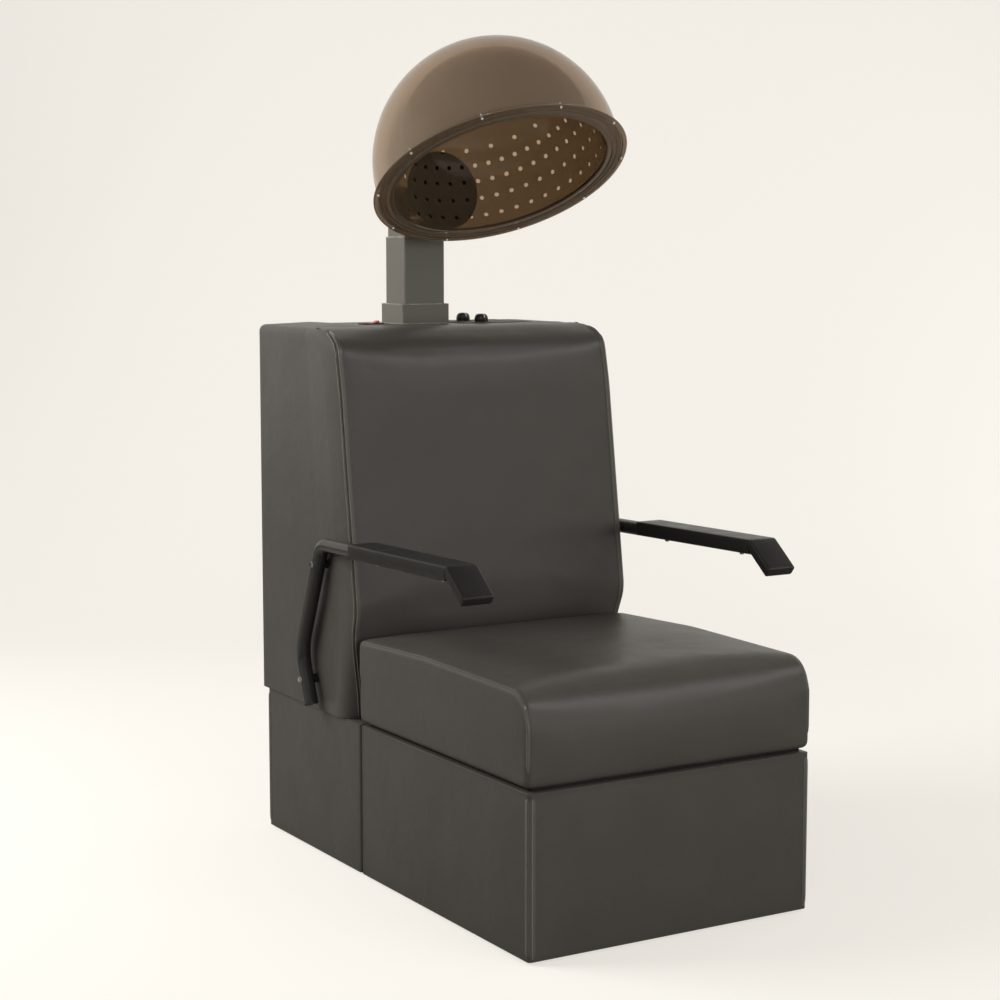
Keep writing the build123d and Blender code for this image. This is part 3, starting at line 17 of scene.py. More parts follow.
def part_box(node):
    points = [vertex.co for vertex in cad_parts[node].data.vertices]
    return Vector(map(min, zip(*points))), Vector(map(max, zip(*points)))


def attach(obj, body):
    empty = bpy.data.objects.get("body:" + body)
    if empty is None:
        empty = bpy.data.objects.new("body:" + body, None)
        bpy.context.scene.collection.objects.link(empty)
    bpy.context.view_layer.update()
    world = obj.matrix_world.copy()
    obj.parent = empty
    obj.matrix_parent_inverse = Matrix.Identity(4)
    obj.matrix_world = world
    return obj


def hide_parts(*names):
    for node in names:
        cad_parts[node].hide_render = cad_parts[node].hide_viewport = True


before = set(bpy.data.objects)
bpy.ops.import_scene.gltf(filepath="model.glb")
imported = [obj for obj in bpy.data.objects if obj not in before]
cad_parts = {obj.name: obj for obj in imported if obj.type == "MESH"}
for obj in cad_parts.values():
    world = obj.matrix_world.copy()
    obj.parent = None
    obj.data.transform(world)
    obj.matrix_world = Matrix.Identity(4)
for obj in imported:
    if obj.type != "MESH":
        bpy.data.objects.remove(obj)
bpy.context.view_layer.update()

Rgb = tuple[float, float, float]
Flat = tuple[float, float]
log = logging.getLogger("dryer_chair")


class Body(Enum):
    """The bodies that the dressed pieces ride on."""

    CHAIR = "chair"
    HOOD = "hood"
    TIMER = "timer"
    HEAT = "heat"


class Side(Enum):
    """The sitter's two sides, with the sign of their X."""

    RIGHT = -1
    LEFT = 1


def linear(code: str) -> Rgb:
    """Turn a written colour into shader values.

    Args:
        code: Six hexadecimal digits, red first.

    Returns:
        Linear red, green and blue.
    """
    parts = [int(code[place : place + 2], 16) / 255 for place in (0, 2, 4)]
    return tuple(c / 12.92 if c <= 0.04045 else ((c + 0.055) / 1.055) ** 2.4 for c in parts)


def clamp(value: float) -> float:
    """Hold a value between 0 and 1."""
    return min(max(value, 0.0), 1.0)


def ramp(value: float, start: float, reach: float) -> float:
    """Rise from 0 at a start to 1 after a reach, held at both ends."""
    return clamp((value - start) / reach)


def heading(turn: float) -> Vector:
    """The level direction at a turn from +X, in radians."""
    return Vector((cos(turn), sin(turn), 0))


def stand(name: str, data: bpy.types.ID) -> bpy.types.Object:
    """Put new data into the scene as an object.

    Args:
        name: The object's name.
        data: A mesh, curve, lamp or camera.

    Returns:
        The new object.
    """
    piece = bpy.data.objects.new(name, data)
    bpy.context.scene.collection.objects.link(piece)
    return piece


# ------------------------------------------------------------------ shader node groups
class NodeSheet:
    """Adds, sets and links the nodes of one tree."""

    def __init__(self, tree: bpy.types.NodeTree) -> None:
        """Keep the tree and clear it."""
        self.tree = tree
        tree.nodes.clear()

    def add(self, kind: str, inputs: dict | None = None, **settings: object) -> bpy.types.Node:
        """Add a node.

        Args:
            kind: The node's type, such as ShaderNodeMath.
            inputs: Values for sockets, by name or place. A socket is linked.
            settings: The node's own properties.

        Returns:
            The new node.
        """
        node = self.tree.nodes.new(kind)
        for name, value in settings.items():
            setattr(node, name, value)
        for key, value in (inputs or {}).items():
            if isinstance(value, bpy.types.NodeSocket):
                self.tree.links.new(value, node.inputs[key])
            else:
                node.inputs[key].default_value = value
        return node

    def math(self, operation: str, first: object, second: object) -> bpy.types.NodeSocket:
        """Combine two values with a Math node and return its output."""
        return self.add("ShaderNodeMath", {0: first, 1: second}, operation=operation).outputs[0]

    def spread(self, value: object, low: float, high: float, start: float, end: float) -> bpy.types.NodeSocket:
        """Map a value from one range to another, clamped, and return the result."""
        limits = {"Value": value, "From Min": low, "From Max": high, "To Min": start, "To Max": end}
        return self.add("ShaderNodeMapRange", limits, clamp=True).outputs[0]

    def place(self, stretch: tuple[float, float, float] = (1, 1, 1)) -> bpy.types.NodeSocket:
        """Object coordinates, stretched along the axes."""
        spot = self.add("ShaderNodeTexCoord").outputs["Object"]
        return self.add("ShaderNodeMapping", {"Vector": spot, "Scale": stretch}).outputs[0]

    def join(self, source: bpy.types.NodeSocket, node: bpy.types.Node, socket: str) -> None:
        """Link an output to a node's input."""
        self.tree.links.new(source, node.inputs[socket])

    def mix(self, share: object, first: object, second: object) -> bpy.types.NodeSocket:
        """Mix two colours by a share and return the result."""
        return self.add("ShaderNodeMix", {0: share, 6: first, 7: second}, data_type="RGBA").outputs[2]

    def cloud(self, scale: object, detail: float, spot: object = None, **more: float) -> bpy.types.Node:
        """Add a noise texture at a place, or at the object's own coordinates."""
        place = self.place() if spot is None else spot
        return self.add("ShaderNodeTexNoise", {"Vector": place, "Scale": scale, "Detail": detail, **more})

    def seen(self) -> tuple[bpy.types.Node, bpy.types.NodeSocket]:
        """A Light Path node, and 1 where the camera looks straight or through clear plastic."""
        path = self.add("ShaderNodeLightPath")
        return path, self.math("MAXIMUM", path.outputs["Is Camera Ray"], path.outputs["Is Transmission Ray"])


class Effect(Enum):
    """Surface effects that several finishes share."""

    PEBBLE = "pebble_grain"
    MOTTLE = "slow_mottle"
    EDGE = "edge_wear"
    RIPPLE = "soft_ripple"
    DUST = "settled_dust"
    FIBRE = "long_fibre"


class EffectLibrary:
    """Builds each shared effect once, as a shader node group."""

    @staticmethod
    def _new(name: str, inputs: dict[str, float], outputs: Sequence[str]) -> tuple[NodeSheet, object, object]:
        """Make an empty group with float sockets and return its sheet, input and output nodes.

        Args:
            name: The group's name.
            inputs: Its inputs and their usual values.
            outputs: Names of its outputs.

        Returns:
            The sheet, the input node and the output node.
        """
        tree = bpy.data.node_groups.new(name, "ShaderNodeTree")
        for label, value in inputs.items():
            socket = tree.interface.new_socket(label, in_out="INPUT", socket_type="NodeSocketFloat")
            socket.default_value = value
        for label in outputs:
            tree.interface.new_socket(label, in_out="OUTPUT", socket_type="NodeSocketFloat")
        sheet = NodeSheet(tree)
        return sheet, sheet.add("NodeGroupInput"), sheet.add("NodeGroupOutput")

    @classmethod
    @lru_cache(maxsize=None)
    def get(cls, effect: Effect) -> bpy.types.NodeTree:
        """Return the node group of an effect, built on first use."""
        return getattr(cls, f"_{effect.name.lower()}")(effect.value)

    @classmethod
    def use(cls, sheet: NodeSheet, effect: Effect, **inputs: float) -> bpy.types.Node:
        """Place an effect in a material and return its node."""
        return sheet.add("ShaderNodeGroup", inputs, node_tree=cls.get(effect))

    @classmethod
    def _pebble(cls, name: str) -> bpy.types.NodeTree:
        """Embossed pebbles with fine creases between them. Scale is pebbles per metre.

        Args:
            name: The group's name.

        Returns:
            The node group.
        """
        sheet, given, out = cls._new(name, {"Scale": 700.0}, ("Height", "Crease"))
        spot = sheet.place()
        warp = sheet.cloud(160.0, 1.0, spot)
        bent = sheet.add("ShaderNodeVectorMath", {0: warp.outputs["Color"], "Scale": 0.0022}, operation="SCALE")
        moved = sheet.add("ShaderNodeVectorMath", {0: spot, 1: bent.outputs[0]}, operation="ADD")
        cells = sheet.add(
            "ShaderNodeTexVoronoi",
            {"Vector": moved.outputs[0], "Scale": given.outputs["Scale"], "Randomness": 0.9},
            feature="DISTANCE_TO_EDGE",
        )
        dome = sheet.spread(cells.outputs["Distance"], 0.0, 0.32, 0.0, 1.0)
        sheet.join(dome, out, "Height")
        sheet.join(sheet.math("SUBTRACT", 1.0, dome), out, "Crease")
        return sheet.tree

    @classmethod
    def _mottle(cls, name: str) -> bpy.types.NodeTree:
        """Slow cloudy variation from 0 to 1. Scale is clouds per metre.

        Args:
            name: The group's name.

        Returns:
            The node group.
        """
        sheet, given, out = cls._new(name, {"Scale": 9.0}, ("Value",))
        cloud = sheet.cloud(given.outputs["Scale"], 4.0, Roughness=0.55)
        sheet.join(sheet.spread(cloud.outputs["Fac"], 0.3, 0.7, 0.0, 1.0), out, "Value")
        return sheet.tree

    @classmethod
    def _edge(cls, name: str) -> bpy.types.NodeTree:
        """Mask of edges, broken up by noise: rubbed wear, and on the mast a painted highlight along its corners.
        Reach is the band's width in metres.

        Args:
            name: The group's name.

        Returns:
            The node group.
        """
        sheet, given, out = cls._new(name, {"Reach": 0.0015}, ("Mask",))
        rounded = sheet.add("ShaderNodeBevel", {"Radius": given.outputs["Reach"]}, samples=4)
        normal = sheet.add("ShaderNodeNewGeometry").outputs["Normal"]
        match = sheet.add("ShaderNodeVectorMath", {0: rounded.outputs[0], 1: normal}, operation="DOT_PRODUCT")
        turned = sheet.spread(match.outputs["Value"], 0.99, 0.8, 0.0, 1.0)
        broken = sheet.spread(sheet.cloud(85.0, 5.0).outputs["Fac"], 0.35, 0.65, 0.2, 1.0)
        sheet.join(sheet.math("MULTIPLY", turned, broken), out, "Mask")
        return sheet.tree

    @classmethod
    def _ripple(cls, name: str) -> bpy.types.NodeTree:
        """Shallow uneven height, as in sprayed paint or slack skin. Scale is waves per metre.

        Args:
            name: The group's name.

        Returns:
            The node group.
        """
        sheet, given, out = cls._new(name, {"Scale": 60.0}, ("Height",))
        wave = sheet.cloud(given.outputs["Scale"], 2.0, Distortion=0.4)
        sheet.join(wave.outputs["Fac"], out, "Height")
        return sheet.tree

    @classmethod
    def _dust(cls, name: str) -> bpy.types.NodeTree:
        """Mask of specks on faces that look up: a thin dusting, and on the vinyl a painted lighter top that stands
        in for a reflection. Amount is the most that it covers.

        Args:
            name: The group's name.

        Returns:
            The node group.
        """
        sheet, given, out = cls._new(name, {"Amount": 0.2}, ("Mask",))
        up = sheet.add("ShaderNodeSeparateXYZ", {0: sheet.add("ShaderNodeNewGeometry").outputs["Normal"]})
        facing = sheet.spread(up.outputs["Z"], 0.55, 1.0, 0.0, 1.0)
        specks = sheet.spread(sheet.cloud(420.0, 6.0).outputs["Fac"], 0.42, 0.7, 0.1, 1.0)
        cover = sheet.math("MULTIPLY", facing, specks)
        sheet.join(sheet.math("MULTIPLY", cover, given.outputs["Amount"]), out, "Mask")
        return sheet.tree

    @classmethod
    def _fibre(cls, name: str) -> bpy.types.NodeTree:
        """Long streaks along X, for veneer and brushed metal. Scale is streaks per metre.

        Args:
            name: The group's name.

        Returns:
            The node group.
        """
        sheet, given, out = cls._new(name, {"Scale": 120.0}, ("Value",))
        streak = sheet.cloud(given.outputs["Scale"], 5.0, sheet.place((0.06, 1, 1)))
        sheet.join(sheet.spread(streak.outputs["Fac"], 0.3, 0.7, 0.0, 1.0), out, "Value")
        return sheet.tree


# ------------------------------------------------------------------ finishes
# Colour of the specks on top faces: a dusting, and on the vinyl a painted lighter top that stands in for a
# reflection.
DUST_AND_SHEEN_COLOUR = "b9b2a6"
STREAKS_PER_METRE = 140.0
STREAK_SHADE = 0.55
CREASE_SHADE = 0.4
COAT_ROUGHNESS = 0.12
ACRYLIC_INDEX = 1.49


@dataclass(frozen=True)
class Finish:
    """A painted, moulded, upholstered or metal surface. Depths and sizes are in metres."""

    name: str
    slot: str
    colour: str
    roughness: float
    metallic: float = 0.0
    specular: float = 0.5
    coat: float = 0.0
    mottle: float = 0.08
    mottle_scale: float = 9.0
    roughness_spread: float = 0.06
    grain_scale: float = 0.0
    grain_depth: float = 0.0
    crease_dark: float = 0.0
    ripple_scale: float = 60.0
    ripple_depth: float = 0.0
    # Edge colour: rubbed wear, and on the mast a painted highlight along its corners.
    wear_and_glint_colour: str = ""
    wear_and_glint_reach: float = 0.0015
    # Share of specks on top faces: a dusting, and on the vinyl a painted lighter top.
    dust: float = 0.0
    fibre: float = 0.0
    transmission: float = 0.0

    def _colour(self, sheet: NodeSheet) -> bpy.types.NodeSocket:
        """The base colour: cloudy variation, then fibres, creases, edge marks (rubbed wear, and a painted
        highlight on the mast) and specks on top faces (a dusting, and a painted lighter top on the vinyl).

        Args:
            sheet: The material's sheet.

        Returns:
            The colour's socket.
        """
        base = linear(self.colour)

        def shade(factor: float) -> tuple[float, ...]:
            """The base colour times a factor, opaque."""
            return (*[min(c * factor, 1) for c in base], 1)

        cloud = EffectLibrary.use(sheet, Effect.MOTTLE, Scale=self.mottle_scale)
        colour = sheet.mix(cloud.outputs["Value"], shade(1 - self.mottle), shade(1 + self.mottle))
        if self.fibre:
            streak = EffectLibrary.use(sheet, Effect.FIBRE, Scale=STREAKS_PER_METRE)
            share = sheet.math("MULTIPLY", streak.outputs["Value"], self.fibre)
            colour = sheet.mix(share, colour, shade(STREAK_SHADE))
        if self.crease_dark:
            pebble = EffectLibrary.use(sheet, Effect.PEBBLE, Scale=self.grain_scale)
            share = sheet.math("MULTIPLY", pebble.outputs["Crease"], self.crease_dark)
            colour = sheet.mix(share, colour, shade(CREASE_SHADE))
        # Edge marks: rubbed wear, and on the mast a painted highlight along its corners.
        if self.wear_and_glint_colour:
            edge_mark = EffectLibrary.use(sheet, Effect.EDGE, Reach=self.wear_and_glint_reach)
            colour = sheet.mix(edge_mark.outputs["Mask"], colour, (*linear(self.wear_and_glint_colour), 1))
        # Specks on top faces: a dusting, and on the vinyl a painted lighter top that stands in for a reflection.
        if self.dust:
            dust = EffectLibrary.use(sheet, Effect.DUST, Amount=self.dust)
            colour = sheet.mix(dust.outputs["Mask"], colour, (*linear(DUST_AND_SHEEN_COLOUR), 1))
        return colour

    def _normal(self, sheet: NodeSheet) -> bpy.types.NodeSocket | None:
        """Grain over ripple, as chained bumps.

        Args:
            sheet: The material's sheet.

        Returns:
            The normal's socket, or None on a smooth finish.
        """
        normal = None
        layers = (
            (Effect.RIPPLE, self.ripple_scale, self.ripple_depth),
            (Effect.PEBBLE, self.grain_scale, self.grain_depth),
        )
        for effect, scale, depth in layers:
            if not depth:
                continue
            height = EffectLibrary.use(sheet, effect, Scale=scale).outputs["Height"]
            bump = sheet.add("ShaderNodeBump", {"Height": height, "Strength": 1.0, "Distance": depth})
            if normal:
                sheet.join(normal, bump, "Normal")
            normal = bump.outputs[0]
        return normal

    @lru_cache(maxsize=None)
    def material(self) -> bpy.types.Material:
        """Build the material on first use.

        Returns:
            A Principled material with procedural colour, roughness and relief.
        """
        material = bpy.data.materials.new(self.name)
        material.use_nodes = True
        sheet = NodeSheet(material.node_tree)
        cloud = EffectLibrary.use(sheet, Effect.MOTTLE, Scale=self.mottle_scale * 3)
        rough = (max(self.roughness - self.roughness_spread, 0.0), self.roughness + self.roughness_spread)
        shader = sheet.add(
            "ShaderNodeBsdfPrincipled",
            {
                "Base Color": self._colour(sheet),
                "Metallic": self.metallic,
                "Roughness": sheet.spread(cloud.outputs["Value"], 0.0, 1.0, *rough),
                "Specular IOR Level": self.specular,
                "Coat Weight": self.coat,
                "Coat Roughness": COAT_ROUGHNESS,
                "Transmission Weight": self.transmission,
                "IOR": ACRYLIC_INDEX,
            },
        )
        normal = self._normal(sheet)
        if normal:
            sheet.join(normal, shader, "Normal")
        sheet.add("ShaderNodeOutputMaterial", {"Surface": shader.outputs[0]})
        return material


# On both vinyls the specks on top faces paint the tops lighter: a painted reflection of the bright room.
VINYL = Finish(
    "vinyl_warm_charcoal", "vinyl", "413e3b", 0.37, mottle=0.06, roughness_spread=0.02, grain_scale=620,
    grain_depth=0.00005, crease_dark=0.3, ripple_scale=34, ripple_depth=0.0006, dust=0.04,
)
CUSHION_VINYL = Finish(
    "vinyl_over_foam", "padding", "413e3b", 0.36, mottle=0.05, roughness_spread=0.015, grain_scale=620,
    grain_depth=0.00005, crease_dark=0.3, ripple_scale=26, ripple_depth=0.0008, dust=0.04,
)
# Lighter than the vinyl: the lighter colour is a painted highlight along the seam's rolls.
SEAM_HIGHLIGHT_VINYL = Finish(
    "vinyl_pulled_at_seam", "vinyl", "4a4743", 0.2, specular=0.8, mottle=0.05, grain_scale=620,
    grain_depth=0.00003, crease_dark=0.2,
)
# Pale thread: partly the thread's own colour, partly a painted highlight of the bright stitched lines.
THREAD_AND_HIGHLIGHT = Finish("bonded_thread", "vinyl", "8f8a80", 0.45, mottle=0.12, mottle_scale=200)
# Near-black seat board, so that its edge reads as the dark groove between seat and base: painted shade.
SEAT_GAP_SHADE = Finish(
    "black_lining_cloth", "plywood", "1b1a18", 0.85, mottle=0.15, grain_scale=1800, grain_depth=0.00008,
)
ARM_STEEL = Finish(
    "arm_gloss_black", "arm_steel", "252422", 0.22, coat=0.4, mottle=0.08, ripple_scale=420, ripple_depth=0.00003,
    wear_and_glint_colour="4b4843",
)
# Near-black spacers, so that they sink into the shadow between tube and side: painted shade.
SPACER_SHADE_BLACK = Finish("arm_spacer_rubber", "arm_steel", "151413", 0.7, mottle=0.1)
ARM_PAD = Finish(
    "arm_pad_moulded", "arm_pad", "1b1a19", 0.34, mottle=0.08, grain_scale=900, grain_depth=0.00004,
    crease_dark=0.25, wear_and_glint_colour="45423d", wear_and_glint_reach=0.002,
)
# Its light edge colour is a painted highlight along the mast's corners.
MAST_PAINT = Finish(
    "mast_satin_grey", "mast_paint", "5c5953", 0.33, metallic=0.2, mottle=0.03, ripple_scale=520,
    roughness_spread=0.03, ripple_depth=0.00002, wear_and_glint_colour="bdb8ac", wear_and_glint_reach=0.004,
)
CHROME = Finish("chrome_bright", "chrome_screw", "e2e0dc", 0.09, metallic=1.0, mottle=0.03, roughness_spread=0.04)
# Near-white and half metallic, so that the nickel screws show as bright dots: a painted glint.
RIM_SCREW_GLINT = Finish("rim_screw_nickel", "chrome_screw", "f4f2ee", 0.3, metallic=0.5, mottle=0.02)
ZINC = Finish("zinc_bolt", "steel_bolt", "a5a39c", 0.34, metallic=1.0, mottle=0.15, mottle_scale=60)
BLACK_PLASTIC = Finish(
    "black_moulded_plastic", "black_plastic", "1d1c1b", 0.3, mottle=0.1, ripple_scale=700, ripple_depth=0.00002,
    wear_and_glint_colour="3c3a37", wear_and_glint_reach=0.0006,
)
INLET_PLASTIC = Finish(
    "black_inlet_plate", "black_plastic", "3a2617", 0.6, specular=0.2, mottle=0.12, mottle_scale=30,
)
PANEL_STEEL = Finish(
    "panel_powder_coat", "panel_steel", "3a3835", 0.5, mottle=0.06, grain_scale=1500, grain_depth=0.00003,
    wear_and_glint_colour="75706a",
)
SHEET_STEEL = Finish(
    "galvanised_sheet", "sheet_steel", "9a9b98", 0.4, metallic=0.9, mottle=0.22, mottle_scale=45, fibre=0.2,
)
NYLON = Finish("natural_nylon", "nylon", "cfc8b8", 0.45, mottle=0.05, ripple_scale=300, ripple_depth=0.00003)
MICA = Finish("mica_and_wire", "mica", "9c8b6a", 0.4, metallic=0.3, mottle=0.2, mottle_scale=50, fibre=0.4)
FAN_PLASTIC = Finish("fan_grey_plastic", "fan_plastic", "5c5f60", 0.45, mottle=0.06, dust=0.25)
SWITCH_PLASTIC = Finish("switch_phenolic", "switch_body", "26211d", 0.4, mottle=0.15, mottle_scale=80)
ROCKER_RED = Finish("rocker_red", "red_rocker", "9a1a12", 0.22, coat=0.4, mottle=0.06, mottle_scale=60)
FILTER_FRAME = Finish("filter_frame_grey", "filter_frame", "6c6b66", 0.6, mottle=0.08, dust=0.3)
GLIDE = Finish("glide_plastic", "glide", "2b2927", 0.55, mottle=0.1, wear_and_glint_colour="55514c")
PLYWOOD = Finish(
    "raw_plywood", "plywood", "b8935f", 0.68, mottle=0.12, mottle_scale=6, fibre=0.5, ripple_scale=240,
    ripple_depth=0.0001,
)
PRINT_WHITE = Finish("dial_print_white", "black_plastic", "d9d6cf", 0.5, mottle=0.03, mottle_scale=200)
SMOKED_SHELL = Finish(
    "smoked_acrylic_shell", "smoked_shell", "b8a28a", 0.10, mottle=0.02, roughness_spread=0.02, transmission=0.78,
)
SMOKED_RIM = Finish(
    "smoked_acrylic_rim", "smoked_shell", "84705a", 0.06, coat=0.5, mottle=0.03, roughness_spread=0.02,
    transmission=0.6,
)
SMOKED_LINER = Finish(
    "smoked_acrylic_liner", "smoked_liner", "84745e", 0.09, mottle=0.03, roughness_spread=0.02, transmission=0.86,
)

CARRIED_FINISHES: dict[Finish, tuple[str, ...]] = {
    PLYWOOD: ("front_carcass", "rear_carcass", "back_carcass", "blower_shelf"),
    SEAT_GAP_SHADE: ("seat_board",),
    ZINC: ("frame_bolts", "service_panel_screws", "motor_screws", "hood_neck_screws", "tilt_pin", "motor_shaft"),
    CHROME: ("arm_bolts", "pad_screws"),
    RIM_SCREW_GLINT: ("hood_rim_screws",),
    GLIDE: ("glides",),
    PANEL_STEEL: ("service_panel", "control_plate"),
    FILTER_FRAME: ("lint_filter",),
    BLACK_PLASTIC: ("power_inlet", "arm_tube_plugs", "rocker_frame", "timer_dial", "heat_dial"),
    INLET_PLASTIC: ("hood_inlet_plate",),
    ARM_STEEL: ("right_arm_tube", "left_arm_tube"),
    SPACER_SHADE_BLACK: ("arm_spacers",),
    MAST_PAINT: ("mast_outer_tube", "mast_collar", "mast_inner_tube", "mast_head", "hood_neck"),
    NYLON: ("mast_bushing", "mast_stop_ring", "mast_foot_guide", "tilt_washers"),
    SHEET_STEEL: ("duct_adapter", "heater_box", "outlet_flange", "blower_scroll", "blower_motor"),
    MICA: ("heater_element",),
    FAN_PLASTIC: ("blower_wheel",),
    SWITCH_PLASTIC: ("timer_body", "heat_switch_body"),
    ROCKER_RED: ("power_rocker",),
}


# ------------------------------------------------------------------ mesh tools
class Sketch:
    """Collects rings of points and the faces between them, then makes a piece."""

    def __init__(self) -> None:
        """Start empty."""
        self.points: list[Vector] = []
        self.faces: list[tuple[int, ...]] = []

    def ring(self, points: Iterable[Vector]) -> list[int]:
        """Add a row of points and return their places.

        Args:
            points: The row's points.

        Returns:
            Their places.
        """
        start = len(self.points)
        self.points.extend(Vector(point) for point in points)
        return list(range(start, len(self.points)))

    def bridge(self, first: Sequence[int], second: Sequence[int], closed: bool = True) -> None:
        """Join two rows of as many points with quads, all the way round if closed.

        Args:
            first: Places of one row.
            second: Places of the next row.
            closed: Whether the rows close on themselves.
        """
        count = len(first)
        for place in range(count if closed else count - 1):
            after = (place + 1) % count
            self.faces.append((first[place], first[after], second[after], second[place]))

    def cap(self, ring: Sequence[int]) -> None:
        """Close a ring with one face."""
        self.faces.append(tuple(ring))

    def loft(self, rows: Sequence[Iterable[Vector]], closed: bool = True, wrap: bool = False) -> list[list[int]]:
        """Join rows of points in order.

        Args:
            rows: Rows with as many points each.
            closed: Whether each row closes on itself.
            wrap: Whether the last row joins the first.

        Returns:
            The places of each row's points.
        """
        places = [self.ring(row) for row in rows]
        for first, second in zip(places, places[1:]):
            self.bridge(first, second, closed)
        if wrap:
            self.bridge(places[-1], places[0], closed)
        return places

    def solid(self, rows: Sequence[Iterable[Vector]]) -> None:
        """Join closed rows of points in order and close both ends.

        Args:
            rows: Rows with as many points each.
        """
        places = self.loft(rows)
        self.cap(places[0])
        self.cap(places[-1][::-1])

    def build(self, name: str, smooth: float = 38.0) -> bpy.types.Object:
        """Make the object.

        Args:
            name: The piece's name.
            smooth: Edges sharper than this many degrees stay crisp.

        Returns:
            A new mesh object in the scene, with its normals facing out.
        """
        mesh = bpy.data.meshes.new(name)
        mesh.from_pydata(self.points, [], self.faces)
        work = bmesh.new()
        work.from_mesh(mesh)
        bmesh.ops.remove_doubles(work, verts=work.verts, dist=2e-6)
        bmesh.ops.recalc_face_normals(work, faces=work.faces)
        work.to_mesh(mesh)
        work.free()
        mesh.shade_smooth()
        mesh.set_sharp_from_angle(angle=radians(smooth))
        return stand(name, mesh)


def dress(piece: bpy.types.Object, finish: Finish, body: Body, nodes: Sequence[str] = ()) -> bpy.types.Object:
    """Give a piece its finish, body and the nodes that it stands for, and report it.

    Args:
        piece: The new piece.
        finish: Its surface.
        body: The body that it rides on.
        nodes: The construction nodes that it replaces.

    Returns:
        The same piece.
    """
    piece.data.materials.append(finish.material())
    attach(piece, body.value)
    if nodes:
        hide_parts(*nodes)
    log.info("%s: %d faces, %s, rides on %s", piece.name, len(piece.data.polygons), finish.name, body.value)
    return piece


def bake(piece: bpy.types.Object) -> None:
    """Turn a piece's modifiers into its mesh.

    Args:
        piece: The piece to apply them on.
    """
    evaluated = piece.evaluated_get(bpy.context.evaluated_depsgraph_get())
    mesh = bpy.data.meshes.new_from_object(evaluated)
    piece.modifiers.clear()
    old = piece.data
    piece.data = mesh
    mesh.name = piece.name
    bpy.data.meshes.remove(old)


def pillow(share: float) -> float:
    """Height of a stuffed panel across its width: 0 at the edges, 1 over most of it."""
    return max(0.0, 1 - abs(2 * share - 1) ** 5)


def ripple(point: Vector, size: float, depth: float) -> float:
    """Slow uneven height at a point, for slack skin over foam."""
    return depth * noise.fractal(point / size, 0.9, 2.0, 3)


def fillet_outline(corners: Sequence[tuple[float, float, float]], step: float) -> tuple[list[Flat], list[int]]:
    """Round the corners of a closed outline.

    Args:
        corners: First coordinate, second coordinate and radius of each corner, in order.
        step: Longest distance between points on an arc.

    Returns:
        The points, and for each corner the place of its arc's middle point.
    """
    points: list[Flat] = []
    middles: list[int] = []
    for place, (x, y, radius) in enumerate(corners):
        here = Vector((x, y))
        before = (Vector(corners[place - 1][:2]) - here).normalized()
        after = (Vector(corners[(place + 1) % len(corners)][:2]) - here).normalized()
        turn = pi - before.angle(after)
        reach = radius * abs(sin(turn / 2) / cos(turn / 2))
        start, end = here + before * reach, here + after * reach
        count = max(2, 2 * ceil(radius * turn / step / 2))
        centre = here + (before + after).normalized() * radius / cos(turn / 2)
        first = start - centre
        sign = 1 if first.x * (end - centre).y - first.y * (end - centre).x > 0 else -1
        middles.append(len(points) + count // 2)
        for index in range(count + 1):
            angle = sign * turn * index / count
            x_turned = first.x * cos(angle) - first.y * sin(angle)
            y_turned = first.x * sin(angle) + first.y * cos(angle)
            points.append((centre.x + x_turned, centre.y + y_turned))
    return points, middles


def even_points(line: Sequence[Flat], count: int) -> list[Flat]:
    """Place count + 1 points evenly along an open line.

    Args:
        line: The line's points.
        count: The number of steps.

    Returns:
        The points, with both ends.
    """
    lengths = [0.0]
    for first, second in zip(line, line[1:]):
        lengths.append(lengths[-1] + hypot(second[0] - first[0], second[1] - first[1]))
    result: list[Flat] = []
    place = 0
    for index in range(count + 1):
        target = lengths[-1] * index / count
        while place < len(line) - 2 and lengths[place + 1] < target:
            place += 1
        span = lengths[place + 1] - lengths[place] or 1.0
        share = clamp((target - lengths[place]) / span)
        first, second = line[place], line[place + 1]
        result.append((first[0] + (second[0] - first[0]) * share, first[1] + (second[1] - first[1]) * share))
    return result


CLOTH_PRESSURE = 4.0
CLOTH_STIFFNESS = 22.0
CLOTH_BENDING = 2.0
CLOTH_FRAMES = 20


def inflate(piece: bpy.types.Object, pinned: Iterable[int], cap: float) -> None:
    """Swell a closed skin with cloth under pressure, held at its seams.

    Args:
        piece: The skin, slightly smaller than the finished cushion.
        pinned: The points that its seams and its board hold.
        cap: The furthest that a point may move.
    """
    group = piece.vertex_groups.new(name="held")
    group.add(list(pinned), 1.0, "REPLACE")
    modifier = piece.modifiers.new("swell", "CLOTH")
    settings = modifier.settings
    settings.use_pressure = True
    settings.uniform_pressure_force = CLOTH_PRESSURE
    settings.vertex_group_mass = "held"
    settings.effector_weights.gravity = 0.0
    settings.tension_stiffness = CLOTH_STIFFNESS
    settings.compression_stiffness = CLOTH_STIFFNESS
    settings.bending_stiffness = CLOTH_BENDING
    settings.quality = 4
    scene = bpy.context.scene
    for step in range(1, CLOTH_FRAMES + 1):
        scene.frame_set(step)
    evaluated = piece.evaluated_get(bpy.context.evaluated_depsgraph_get())
    moved = [vertex.co.copy() for vertex in evaluated.data.vertices]
    piece.modifiers.clear()
    for vertex, target in zip(piece.data.vertices, moved):
        shift = target - vertex.co
        if shift.length > 1e-9:
            vertex.co += shift.normalized() * cap * tanh(shift.length / cap)
    scene.frame_set(1)


